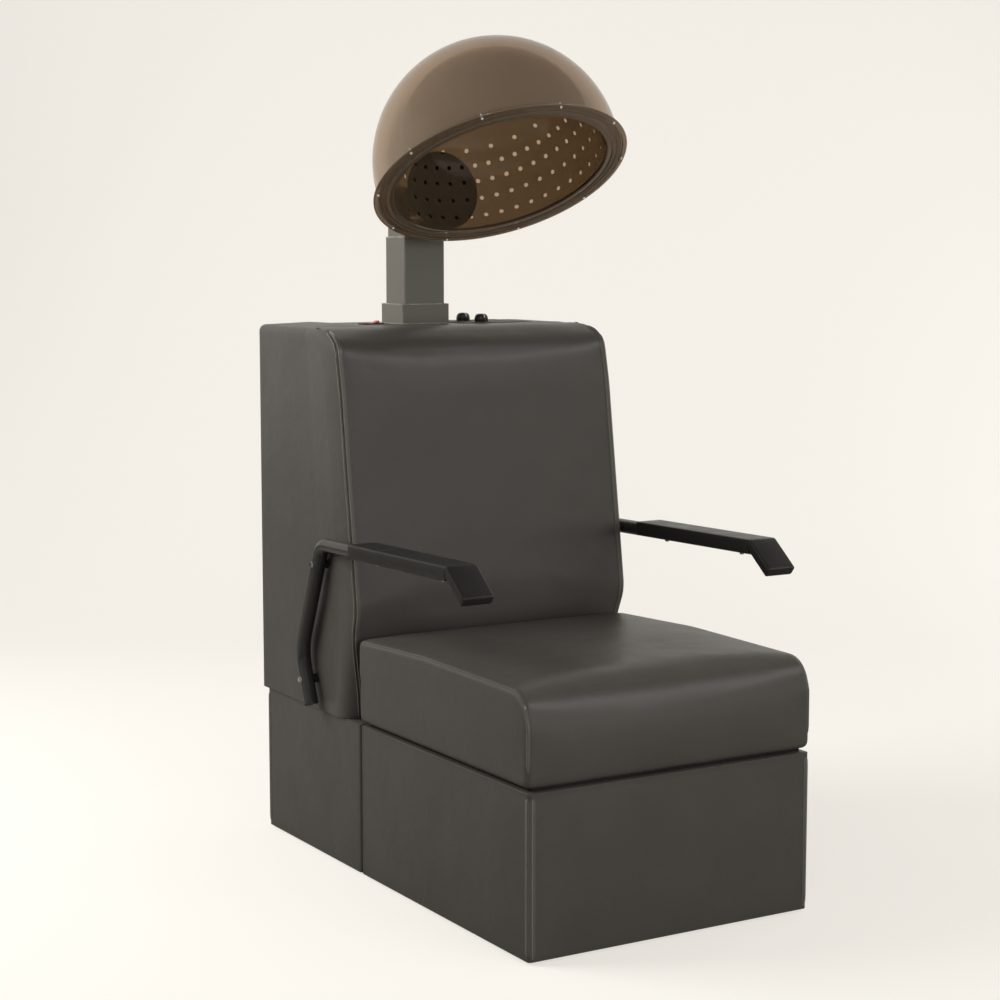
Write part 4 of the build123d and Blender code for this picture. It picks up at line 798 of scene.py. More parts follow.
# ------------------------------------------------------------------ seams
@dataclass
class StitchedEdge:
    """A felled seam: a folded band over a rounded edge with rows of thread along it."""

    radius: float
    reach: float
    lift: float
    ridge: float
    rows: tuple[float, ...]
    pitch: float = 0.0045
    thread: float = 0.00035
    taper: float = 0.018
    sink: float = 0.004
    roll_width: float = 0.0022
    groove_width: float = 0.0011
    groove_share: float = 0.8
    backing: float = 0.002
    steps: int = 24
    thread_corners: int = 5

    def _across(self, distance: float) -> tuple[float, float, float]:
        """Place on the rounded edge at a distance from its middle: sideways, outward and turn.

        Args:
            distance: Distance over the edge from its middle.

        Returns:
            Sideways place, outward place and turn in radians.
        """
        arc = self.radius * pi / 4
        inside = max(-arc, min(arc, distance))
        angle = inside / self.radius
        beyond = distance - inside
        side = self.radius * sin(angle) + beyond * cos(angle)
        out = self.radius * (cos(angle) - 1) - abs(beyond) * abs(sin(angle))
        return side, out, angle

    def _height(self, distance: float) -> float:
        """Relief of the band: a groove in the middle and a soft roll on each side.

        Args:
            distance: Distance over the edge from its middle.

        Returns:
            Height above the edge.
        """
        fade = max(0.0, 1 - (abs(distance) / self.reach) ** 4)
        rolls = sum(exp(-(((distance - row) / self.roll_width) ** 2)) for row in self.rows)
        groove = exp(-((distance / self.groove_width) ** 2)) if len(self.rows) > 1 else 0.0
        return fade * (self.lift + self.ridge * (rolls - self.groove_share * groove))

    def sew(self, name: str, path: Sequence[Vector], outward: Sequence[Vector]) -> None:
        """Make the band, which sinks into the skin at both ends, and its thread.

        Args:
            name: The seam's name.
            path: Points along the edge.
            outward: The edge's outward direction at each point.
        """
        distances = [self.reach * (2 * index / self.steps - 1) for index in range(self.steps + 1)]
        rows, frames = [], []
        for place, point in enumerate(path):
            from_end = min((point - path[0]).length, (point - path[-1]).length)
            spot = point - outward[place] * (self.sink * max(0.0, 1 - from_end / self.taper) ** 2)
            ahead = path[min(place + 1, len(path) - 1)] - path[max(place - 1, 0)]
            along = ahead.normalized()
            out = (outward[place] - along * outward[place].dot(along)).normalized()
            side = along.cross(out)
            frames.append((spot, along, out, side))
            outer, inner = [], []
            for distance in distances:
                across, drop, _ = self._across(distance)
                outer.append(spot + side * across + out * (drop + self._height(distance)))
                inner.append(spot + side * across * 0.9 + out * (drop - self.backing))
            rows.append(outer + inner[::-1])
        band = Sketch()
        band.solid(rows)
        dress(band.build(name, 60), SEAM_HIGHLIGHT_VINYL, Body.CHAIR)
        if self.pitch:
            self._thread(f"{name}_thread", frames)

    def _thread(self, name: str, frames: Sequence[tuple[Vector, Vector, Vector, Vector]]) -> None:
        """Lay a stitch every pitch along each row.

        Args:
            name: The thread's name.
            frames: Place, way along, way out and way across at each point.
        """
        sketch = Sketch()
        lengths = [0.0]
        for (first, *_), (second, *_) in zip(frames, frames[1:]):
            lengths.append(lengths[-1] + (second - first).length)
        place = 0
        for index in range(int(lengths[-1] / self.pitch)):
            target = (index + 0.5) * self.pitch
            while place < len(frames) - 2 and lengths[place + 1] < target:
                place += 1
            share = (target - lengths[place]) / ((lengths[place + 1] - lengths[place]) or 1.0)
            spot = frames[place][0].lerp(frames[place + 1][0], share)
            _, along, out, side = frames[place]
            for row in self.rows:
                across, drop, angle = self._across(row)
                lifted = drop + self._height(row)
                turned = out * cos(angle) + side * sin(angle)
                middle = spot + side * across + out * lifted + turned * self.thread * 0.3
                self._stitch(sketch, middle, along, turned)
        dress(sketch.build(name, 70), THREAD_AND_HIGHLIGHT, Body.CHAIR)

    def _stitch(self, sketch: Sketch, middle: Vector, along: Vector, out: Vector) -> None:
        """One stitch: a slim spindle whose ends dive into the skin.

        Args:
            sketch: The thread being drawn.
            middle: The stitch's middle.
            along: The way along the seam.
            out: The way out of the skin.
        """
        side = along.cross(out)
        half = self.pitch * 0.4
        rings = []
        for share, width, dive in ((-1, 0.35, 0.9), (-0.6, 0.95, 0.15), (0.6, 0.95, 0.15), (1, 0.35, 0.9)):
            centre = middle + along * half * share - out * dive * self.thread * 1.6
            turns = [2 * pi * corner / self.thread_corners for corner in range(self.thread_corners)]
            rings.append([centre + (out * cos(t) + side * sin(t)) * self.thread * width for t in turns])
        sketch.solid(rings)


# ------------------------------------------------------------------ upholstered bases
@dataclass
class BaseCover:
    """Vinyl cover of one plywood base: four padded panels, hemmed above and below."""

    node: str
    hidden: str
    corner: float = 0.008
    wall: float = 0.005
    hem: float = 0.002
    hem_lap: float = 0.035
    roll: float = 0.0035
    slack: float = 0.0014
    seat_in: float = 0.0008
    pitch: float = 0.010
    crease_size: float = 0.11
    crease_depth: float = 0.0012
    pull_size: float = 0.035
    pull_depth: float = 0.0005
    pull_fade: float = 5.9

    def _ring(self, inset: float) -> list[tuple[Vector, Vector, float, str]]:
        """Points round the base at an inset: place, outward direction, share of the panel, panel.

        Args:
            inset: How far inside the outline the ring lies.

        Returns:
            The points of the ring.
        """
        low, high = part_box(self.node)
        x_half = high.x - inset
        y_low, y_high = low.y + inset, high.y - inset
        corner = max(self.corner - inset, 0.0004)
        across = round(2 * high.x / self.pitch)
        deep = round((high.y - low.y) / self.pitch)
        legs = (
            ("left", Vector((x_half, y_low + corner, 0)), Vector((x_half, y_high - corner, 0)), deep, 0),
            ("rear", Vector((x_half - corner, y_high, 0)), Vector((corner - x_half, y_high, 0)), across, 90),
            ("right", Vector((-x_half, y_high - corner, 0)), Vector((-x_half, y_low + corner, 0)), deep, 180),
            ("front", Vector((corner - x_half, y_low, 0)), Vector((x_half - corner, y_low, 0)), across, 270),
        )
        result = []
        for panel, start, end, count, facing in legs:
            out = heading(radians(facing))
            for index in range(count + 1):
                result.append((start.lerp(end, index / count), out, index / count, panel))
            centre = end - out * corner
            for index in range(1, 6):
                spoke = heading(radians(facing + 15 * index))
                result.append((centre + spoke * corner, spoke, 0.0, panel))
        return result

    def _section(self) -> list[tuple[float, float, float]]:
        """The skin's closed section: inset, height, and share up the outside or -1 elsewhere.

        Returns:
            The section's points in order.
        """
        low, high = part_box(self.node)
        foot, top = low.z, high.z
        rows = round((top - foot - self.roll) / self.pitch)
        start, end = foot + self.hem, top - self.roll
        outside = [(0.0, start + (end - start) * i / rows, i / rows) for i in range(rows + 1)]
        lap = self.wall + self.hem_lap
        inside = [
            (self.roll * (1 - cos(radians(a))), top - self.roll * (1 - sin(radians(a)))) for a in (30, 60, 90)
        ]
        inside += [
            (lap, top), (lap, top - self.hem), (self.wall, top - self.hem), (self.wall, foot + self.hem),
            (lap, foot + self.hem), (lap, foot), (self.roll, foot), (self.roll * 0.3, foot + self.roll * 0.25),
        ]
        return outside + [(inset, height, -1.0) for inset, height in inside]

    def build(self) -> None:
        """Make the cover and the felled seams on its upright corners."""
        sketch = Sketch()
        rows = []
        for inset, height, share in self._section():
            row = []
            for spot, out, across, panel in self._ring(inset):
                point = Vector((spot.x, spot.y, height))
                if share >= 0 and panel != self.hidden:
                    point += out * self._puff(point, across, share)
                row.append(point)
            rows.append(row)
        sketch.loft(rows, wrap=True)
        dress(sketch.build(f"{self.node}_vinyl"), VINYL, Body.CHAIR, [self.node])
        self._seams()

    def _puff(self, point: Vector, across: float, up: float) -> float:
        """How far a panel stands out: slack over its foam, with creases that gather at the foot.

        Args:
            point: A point of the flat panel.
            across: Its share across the panel.
            up: Its share up the panel.

        Returns:
            The distance outward.
        """
        creases = ripple(Vector((point.x, point.y, point.z * 0.6)), self.crease_size, self.crease_depth)
        pulls = ripple(Vector((point.x, point.y, point.z * 0.25)), self.pull_size, self.pull_depth)
        pulls *= exp(-up * self.pull_fade)
        return pillow(across) * pillow(up) * (self.slack + creases + pulls) - self.seat_in

    def _seams(self) -> None:
        """Sew the four upright corners, apart from those in the joint between the bases."""
        low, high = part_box(self.node)
        seam = StitchedEdge(radius=self.corner, reach=0.0115, lift=0.0004, ridge=0.0010, rows=(-0.006, 0.006))
        heights = even_points([(low.z + self.hem, 0.0), (high.z - self.roll, 0.0)], 24)
        for side in Side:
            for end, y in (("front", low.y), ("rear", high.y)):
                if end == self.hidden:
                    continue
                facing = -1 if end == "front" else 1
                out = Vector((side.value, facing, 0)).normalized()
                centre = Vector((side.value * (high.x - self.corner), y - facing * self.corner, 0))
                edge = centre + out * self.corner
                path = [Vector((edge.x, edge.y, height)) for height, _ in heights]
                name = f"{self.node}_{end}_{side.name.lower()}_seam"
                seam.sew(name, path, [out] * len(path))


# ------------------------------------------------------------------ cushions
@dataclass
class BoxedCushion:
    """A cushion with one long panel over its profile and a panel at each end.

    The profile is closed, in (Y, Z). Four of its corners divide it into four stretches, and
    stretches that face each other have as many points.
    """

    name: str
    nodes: tuple[str, ...]
    corners: tuple[tuple[float, float, float], ...]
    quarters: tuple[int, int, int, int]
    counts: tuple[int, int]
    half_width: Callable[[float], float]
    edge: float
    columns: int
    crown: float
    fill: float
    hold: Callable[[Vector], bool]
    edge_steps: int = 6
    wrinkle_size: float = 0.16
    wrinkle_depth: float = 0.0016
    quiet_from: float = 0.2
    quiet_reach: float = 0.05
    quiet_share: float = 0.15

    def __post_init__(self) -> None:
        """Work out the profile and its outward directions."""
        fine, middles = fillet_outline(self.corners, 0.002)
        self.stretch_points: list[list[Flat]] = []
        for place, corner in enumerate(self.quarters):
            start = middles[corner]
            end = middles[self.quarters[(place + 1) % 4]]
            line = fine[start : end + 1] if end > start else fine[start:] + fine[: end + 1]
            self.stretch_points.append(even_points(line, self.counts[place % 2])[:-1])
        self.profile = [point for stretch in self.stretch_points for point in stretch]
        area = sum(
            first[0] * second[1] - second[0] * first[1]
            for first, second in zip(self.profile, self.profile[1:] + self.profile[:1])
        )
        turn = 1 if area > 0 else -1
        count = len(self.profile)
        self.outward: list[Flat] = []
        for place in range(count):
            before, after = self.profile[place - 1], self.profile[(place + 1) % count]
            dy, dz = after[0] - before[0], after[1] - before[1]
            size = hypot(dy, dz)
            self.outward.append((turn * dz / size, -turn * dy / size))

    def point(self, place: int, side: float, turn: float) -> Vector:
        """A point on the rounded end edge.

        Args:
            place: The profile point.
            side: -1 or 1, or a share of the flat width between them where turn is 0.
            turn: Degrees round the edge, 0 on the long panel and 90 on the end panel.

        Returns:
            The point in space.
        """
        (y, z), (out_y, out_z) = self.profile[place], self.outward[place]
        inset = self.edge * (1 - cos(radians(turn)))
        flat = self.half_width(z) - self.edge
        x = side * flat + (self.edge * sin(radians(turn)) * (1 if side > 0 else -1) if turn else 0.0)
        return Vector((x, y - out_y * inset, z - out_z * inset))

    def build(self) -> bpy.types.Object:
        """Make the skin, swell it and add slack wrinkles.

        Returns:
            The finished cushion.
        """
        sketch = Sketch()
        turns = [90 * index / self.edge_steps for index in range(self.edge_steps, 0, -1)]
        stations = [(-1.0, turn) for turn in turns]
        stations += [(2 * index / self.columns - 1, 0.0) for index in range(self.columns + 1)]
        stations += [(1.0, turn) for turn in reversed(turns)]
        rows = [
            [self.point(place, share, turn) for place in range(len(self.profile))] for share, turn in stations
        ]
        places = sketch.loft(rows)
        self._end_panel(sketch, places[0])
        self._end_panel(sketch, places[-1])
        cushion = sketch.build(self.name, 180)
        held = []
        for vertex in cushion.data.vertices:
            near_edge = self.half_width(vertex.co.z) - abs(vertex.co.x)
            if self.hold(vertex.co) or (near_edge < self.edge * 0.9 and self._on_edge(vertex.co)):
                held.append(vertex.index)
        inflate(cushion, held, self.crown)
        cushion.modifiers.new("fine", "SUBSURF").levels = 1
        bake(cushion)
        normals = [vertex.normal.copy() for vertex in cushion.data.vertices]
        for vertex, normal in zip(cushion.data.vertices, normals):
            spot = vertex.co
            quiet = 1.0
            if abs(spot.x) > self.quiet_from:
                quiet = min(1.0, (self.half_width(spot.z) - abs(spot.x)) / self.quiet_reach)
            wrinkle = ripple(Vector((spot.x * 0.7, spot.y, spot.z)), self.wrinkle_size, self.wrinkle_depth)
            vertex.co += normal * wrinkle * max(quiet, self.quiet_share)
        cushion.data.shade_smooth()
        dress(cushion, CUSHION_VINYL, Body.CHAIR, self.nodes)
        return cushion

    def _on_edge(self, spot: Vector) -> bool:
        """Whether a point lies within the edge's radius of the profile."""
        return min(hypot(spot.y - y, spot.z - z) for y, z in self.profile[::2]) < self.edge + 0.004

    def _end_panel(self, sketch: Sketch, rim: Sequence[int]) -> None:
        """Fill an end with a grid stretched between its four stretches of rim.

        Args:
            sketch: The cushion being drawn.
            rim: Places of the end's rim.
        """
        across, up = self.counts
        first = list(rim[: across + 1])
        second = list(rim[across : across + up + 1])
        third = list(rim[across + up : 2 * across + up + 1])[::-1]
        fourth = (list(rim[2 * across + up :]) + [rim[0]])[::-1]
        spots = sketch.points
        rows = [first]
        for step in range(1, up):
            v = step / up
            middle = []
            for index in range(1, across):
                u = index / across
                blend = spots[first[index]] * (1 - v) + spots[third[index]] * v
                blend += spots[fourth[step]] * (1 - u) + spots[second[step]] * u
                corner = (spots[first[0]] * (1 - u) + spots[first[-1]] * u) * (1 - v)
                corner += (spots[third[0]] * (1 - u) + spots[third[-1]] * u) * v
                middle.append(blend - corner)
            rows.append([fourth[step], *sketch.ring(middle), second[step]])
        rows.append(third)
        for low, high in zip(rows, rows[1:]):
            sketch.bridge(low, high, closed=False)

    def seam_path(self, side: Side, start: int, end: int, turn: float) -> tuple[list[Vector], list[Vector]]:
        """Points and outward directions along an end edge, between two profile places.

        Args:
            side: The sitter's side.
            start: The first profile place.
            end: The last profile place.
            turn: Degrees round the edge.

        Returns:
            The points and the outward directions.
        """
        path, outward = [], []
        for place in range(start, end + 1):
            wrapped = place % len(self.profile)
            path.append(self.point(wrapped, side.value, turn))
            out_y, out_z = self.outward[wrapped]
            lean = radians(turn)
            outward.append(Vector((side.value * sin(lean), out_y * cos(lean), out_z * cos(lean))))
        return path, outward


def seat_cushion() -> None:
    """Build the seat cushion, with an upright front and a big round nose, and its two welts."""
    low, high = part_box("seat_cushion")
    nose, overhang, inset = 0.066, 0.001, 0.001
    front, rear, foot = low.y + inset, high.y - inset, low.z
    cushion = BoxedCushion(
        name="seat_cushion_vinyl",
        nodes=("seat_cushion",),
        corners=(
            (front, foot, 0.012),
            (rear, foot, 0.012),
            (rear, high.z - 0.013, 0.020),
            (front + 0.36, high.z - 0.003, 0.9),
            (front + nose * 0.3, high.z - 0.0075, nose * 0.85),
            (front, high.z - nose, nose * 0.6),
        ),
        quarters=(0, 1, 2, 4),
        counts=(60, 17),
        half_width=lambda z: high.x + overhang,
        edge=0.014,
        columns=56,
        crown=0.010,
        fill=0.9,
        hold=lambda spot: spot.z < foot + 0.02,
    )
    cushion.build()
    welt = StitchedEdge(radius=0.010, reach=0.0042, lift=0.0, ridge=0.0018, rows=(0.0,), pitch=0.0)
    first, last, lean = 68, 152, 45.0
    for side in Side:
        path, outward = cushion.seam_path(side, first, last, lean)
        welt.sew(f"seat_{side.name.lower()}_welt", path, outward)


class BackShape:
    """The side view of the back: its front line, its leaning board and the width at the seam."""

    overhang = 0.005
    lap = 0.020
    tuck_height = 0.20
    flare_depth = 0.0075
    seam_in = 0.0055
    seam_in_foot = 0.022
    seam_back = 0.055
    seam_back_foot = 0.002

    def __init__(self) -> None:
        """Work out the lines from the back's box and the front line's own heights."""
        cushion_low, cushion_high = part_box("back_cushion")
        cover_low, cover_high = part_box("back_cover")
        self.foot = cover_low.z
        self.top = cover_high.z
        self.rear = cover_high.y
        self.half = cover_high.x + self.overhang
        front = cushion_low.y
        self.board_foot = cover_low.y
        self.board_top = cushion_high.y
        self.corners = (
            (self.board_foot + 0.004, self.foot + 0.001, 0.008),
            (front + 0.041, self.foot + 0.001, 0.012),
            (front + 0.0185, self.foot + 0.168, 0.170),
            (front + 0.001, self.foot + 0.213, 0.085),
            (front + 0.0605, self.foot + 0.640, 0.420),
            (front + 0.0800, self.foot + 0.731, 0.040),
            (front + 0.1380, self.top - 0.0005, 0.080),
            (self.board_top + self.lap, self.top + 0.0014, 0.0008),
            (self.board_top + self.lap, self.top - 0.0016, 0.0008),
            (self.board_top, self.top - 0.003, 0.001),
        )
        line, middles = fillet_outline(self.corners, 0.002)
        self.front_line = sorted(line[middles[1] : middles[7] + 1], key=lambda point: point[1])

    def board_y(self, z: float) -> float:
        """Y of the board's face at a height."""
        share = (z - self.foot) / (self.top - self.foot)
        return self.board_foot + (self.board_top - self.board_foot) * share

    def front_y(self, z: float) -> float:
        """Y of the cushion's front line at a height.

        Args:
            z: The height.

        Returns:
            The line's Y.
        """
        line = self.front_line
        for (y_low, z_low), (y_high, z_high) in zip(line, line[1:]):
            if z <= z_high:
                share = clamp((z - z_low) / ((z_high - z_low) or 1.0))
                return y_low + (y_high - y_low) * share
        return line[-1][0]

    def tuck(self, z: float) -> float:
        """How strongly the sides draw in at a height: 1 at the foot, 0 from the lumbar roll up."""
        share = clamp(1 - (z - self.foot) / self.tuck_height)
        return share * share * (3 - 2 * share)

    def flare(self, y: float, z: float) -> float:
        """How far the side stands out past the box at a place."""
        return self.flare_depth * ramp(self.board_y(z) - y, -0.05, 0.10)

    def round_in(self, z: float) -> float:
        """How far the side draws in at the seam, from its widest."""
        return self.seam_in + self.seam_in_foot * self.tuck(z)

    def round_back(self, z: float) -> float:
        """How far behind the front line the side starts to draw in."""
        return self.seam_back - self.seam_back_foot * self.tuck(z)

    def seam_half(self, z: float) -> float:
        """Half the width between the two front seams at a height."""
        start = self.front_y(z) + self.round_back(z)
        return self.half + self.flare(start, z) - self.round_in(z)


@dataclass
class BackCover:
    """The vinyl round the sides, rear and top of the back box, open for the service panel."""

    shape: BackShape
    rear_corner: float = 0.013
    top_edge: float = 0.014
    skin: float = 0.004
    draw_steps: int = 9
    side_steps: int = 34
    rear_steps: int = 46
    upright_steps: int = 64
    top_steps: int = 22
    crown: float = 0.006
    seam_turn: float = 80.0

    def _half_ring(self, z: float, inset: float) -> list[Vector]:
        """One side of a ring, from its front end to the middle of the rear, on the +X side.

        Args:
            z: The ring's height.
            inset: How far it lies in from the sides.

        Returns:
            The points in order.
        """
        shape = self.shape
        keep = max(0.0, 1 - inset / self.top_edge) if inset else 1.0
        front = shape.front_y(z) + 0.001
        back_in = shape.round_back(z) * (0.25 + 0.75 * keep) if inset <= self.top_edge else 0.001
        draw_in = shape.round_in(z) * keep
        start = front + back_in
        widest = shape.half + shape.flare(start, z) * keep - inset
        ring = []
        for index in range(self.draw_steps):
            share = 1 - index / self.draw_steps
            ring.append(Vector((widest - draw_in * share**3, start - back_in * share, z)))
        rear = shape.rear - inset
        corner = max(self.rear_corner - inset, 0.0003)
        for index in range(self.side_steps + 1):
            y = start + (rear - corner - start) * index / self.side_steps
            ring.append(Vector((shape.half + shape.flare(y, z) * keep - inset, y, z)))
        centre = Vector((shape.half - inset - corner, rear - corner, z))
        for index in range(1, 7):
            ring.append(centre + heading(radians(15 * index)) * corner)
        for index in range(1, self.rear_steps // 2 + 1):
            x = centre.x * (1 - 2 * index / self.rear_steps)
            ring.append(Vector((x, rear, z)))
        return ring

    def _ring(self, z: float, inset: float) -> list[Vector]:
        """A whole ring, from the left front seam round the rear to the right front seam."""
        half = self._half_ring(z, inset)
        return half + [Vector((-spot.x, spot.y, spot.z)) for spot in reversed(half[:-1])]

    def levels(self) -> list[tuple[float, float]]:
        """Height and inset of each ring, from the foot over the top edge to the middle.

        Returns:
            The height and the inset of each ring.
        """
        shape = self.shape
        start, end = (shape.foot + 0.0005, 0.0), (shape.top - self.top_edge, 0.0)
        upright = even_points([start, end], self.upright_steps)
        rolled = [
            (shape.top - self.top_edge * (1 - sin(radians(a))), self.top_edge * (1 - cos(radians(a))))
            for a in (15, 30, 45, 60, 75, 90)
        ]
        reach = shape.rear - shape.front_y(shape.top) - 0.002 - self.top_edge
        steps = self.top_steps
        return [*upright, *rolled, *[(shape.top, self.top_edge + reach * i / steps) for i in range(1, steps + 1)]]

    def build(self) -> None:
        """Make the cover, cut its openings and report it."""
        sketch = Sketch()
        rows = []
        for z, inset in self.levels():
            row = self._ring(z, inset)
            if inset == 0:
                row = [self._slack(spot) for spot in row]
            elif inset > self.top_edge:
                row = [self._crowned(spot) for spot in row]
            rows.append(row)
        sketch.loft(rows, closed=False)
        cover = sketch.build("back_cover_vinyl", 50)
        self._face_outward(cover)
        solid = cover.modifiers.new("skin", "SOLIDIFY")
        solid.thickness = self.skin
        solid.offset = -1
        bake(cover)
        for cutter in self._cutters():
            cut = cover.modifiers.new("opening", "BOOLEAN")
            cut.operation = "DIFFERENCE"
            cut.solver = "EXACT"
            cut.object = cutter
            bake(cover)
            bpy.data.objects.remove(cutter)
        cover.data.shade_smooth()
        cover.data.set_sharp_from_angle(angle=radians(38))
        dress(cover, VINYL, Body.CHAIR, ["back_cover"])

    @staticmethod
    def _face_outward(cover: bpy.types.Object) -> None:
        """Turn the open sheet's faces so that they look away from the box.

        Args:
            cover: The open sheet.
        """
        middle = Vector((0, 0.38, 0.7))
        score = sum((face.center - middle).dot(face.normal) * face.area for face in cover.data.polygons)
        if score < 0:
            cover.data.flip_normals()

    def _slack(self, spot: Vector) -> Vector:
        """Let the skin ripple a little over its foam, less near the seams and the panel.

        Args:
            spot: A point of the upright skin.

        Returns:
            The moved point.
        """
        shape = self.shape
        if abs(spot.x) > shape.half - 0.012:
            share = (spot.y - shape.front_y(spot.z)) / (shape.rear - shape.front_y(spot.z))
            puff = pillow(clamp(share))
            out = Vector((1 if spot.x > 0 else -1, 0, 0))
        else:
            puff = 0.3 * pillow((spot.x + shape.half) / (2 * shape.half))
            out = Vector((0, 1, 0))
        rise = (spot.z - shape.foot) / (shape.top - shape.foot)
        creases = ripple(Vector((spot.x, spot.y, spot.z * 0.6)), 0.15, 0.0012)
        return spot + out * puff * pillow(rise) * creases

    def _crowned(self, spot: Vector) -> Vector:
        """Let the top panel rise between its edges, and stay flat under the parts that stand on it.

        Args:
            spot: A point of the top panel.

        Returns:
            The raised point.
        """
        shape = self.shape
        rise = pillow((spot.x + shape.half) / (2 * shape.half)) * ramp(abs(spot.x), 0.14, 0.08)
        rise *= ramp(shape.rear - spot.y, 0.0, 0.06) * ramp(spot.y - shape.board_top, 0.0, 0.05)
        for node in ("mast_collar", "control_plate", "rocker_frame"):
            low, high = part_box(node)
            x_away = max(low.x - spot.x, spot.x - high.x, 0.0)
            y_away = max(low.y - spot.y, spot.y - high.y, 0.0)
            rise *= ramp(hypot(x_away, y_away), 0.012, 0.045)
        return spot + Vector((0, 0, self.crown * rise))

    @staticmethod
    def _cutters() -> list[bpy.types.Object]:
        """Boxes for the openings under the panel, the mast, the switches and the rocker.

        Returns:
            One closed box for each opening.
        """
        play = 0.001
        reach = 0.03
        cutters = []
        for node, grow, up in (
            ("service_panel", play, Vector((0, reach, 0))),
            ("mast_outer_tube", play * 0.3, Vector((0, 0, reach))),
            ("timer_body", play, Vector((0, 0, reach))),
            ("heat_switch_body", play, Vector((0, 0, reach))),
        ):
            low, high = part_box(node)
            swell = Vector((grow, grow, grow))
            low, high = low - swell - up, high + swell + up
            sketch = Sketch()
            floor = [(low.x, low.y), (high.x, low.y), (high.x, high.y), (low.x, high.y)]
            sketch.solid([[Vector((x, y, z)) for x, y in floor] for z in (low.z, high.z)])
            cutters.append(sketch.build(f"cutter_{node}"))
        return cutters

    def seam(self, side: Side) -> tuple[list[Vector], list[Vector]]:
        """The front seam: points and outward directions from the foot over the brow.

        Args:
            side: The sitter's side.

        Returns:
            The points and the outward directions.
        """
        path, outward = [], []
        for z, inset in self.levels():
            if inset > self.top_edge * 0.3:
                break
            end = self._half_ring(z, inset)[0]
            path.append(Vector((side.value * end.x, end.y - 0.0005, z)))
            turn = radians(self.seam_turn * ramp(z - self.shape.top, -0.05, 0.05))
            outward.append(Vector((side.value * 0.8, -0.75 * cos(turn), sin(turn))).normalized())
        return path, outward


@dataclass
class Back:
    """The back: its cover, its front cushion and the felled seams between them."""

    shape: BackShape

    def build(self) -> None:
        """Build the three kinds of piece."""
        shape = self.shape
        cover = BackCover(shape)
        cover.build()
        cushion = BoxedCushion(
            name="back_cushion_vinyl",
            nodes=("back_cushion",),
            corners=shape.corners,
            quarters=(0, 1, 5, 7),
            counts=(8, 74),
            half_width=lambda z: shape.seam_half(z) - 0.0015,
            edge=0.006,
            columns=58,
            crown=0.004,
            fill=0.9,
            hold=lambda spot: spot.z < shape.foot + 0.02 or spot.y > shape.board_y(spot.z) - 0.006,
            edge_steps=4,
        )
        cushion.build()
        seam = StitchedEdge(radius=0.006, reach=0.0095, lift=0.0010, ridge=0.0021, rows=(-0.0040, 0.0040))
        for side in Side:
            path, outward = cover.seam(side)
            seam.sew(f"back_{side.name.lower()}_front_seam", path, outward)


# ------------------------------------------------------------------ hood
@dataclass
class HoodFrame:
    """The hood's own axes: its dome centre, the crown direction and the way to the rear."""

    tilt: float = 29.5
    skirt: float = 0.032

    def __post_init__(self) -> None:
        """Find the dome's centre and radii from the boxes of the shell and the rim."""
        self.crown = Vector((0, sin(radians(self.tilt)), cos(radians(self.tilt))))
        self.rear = Vector((0, cos(radians(self.tilt)), -sin(radians(self.tilt))))
        shell_low, shell_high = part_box("hood_shell")
        rim_low, rim_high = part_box("hood_rim")
        self.radius = (shell_high.x - shell_low.x) / 2
        self.rim_radius = (rim_high.x - rim_low.x) / 2
        centre_y = rim_low.y + self.rim_radius * self.rear.y + self.skirt * self.crown.y
        self.centre = Vector((0, centre_y, shell_high.z - self.radius))

    def at(self, radius: float, height: float, turn: float) -> Vector:
        """A point at a radius from the axis, a height above the centre and a turn in radians."""
        around = Vector((1, 0, 0)) * sin(turn) + self.rear * cos(turn)
        return self.centre + around * radius + self.crown * height

    def lathe(self, sketch: Sketch, section: Sequence[Flat], steps: int = 192) -> None:
        """Turn a closed section of (radius, height) points round the axis."""
        rows = [[self.at(r, h, 2 * pi * step / steps) for r, h in section] for step in range(steps)]
        sketch.loft(rows, wrap=True)


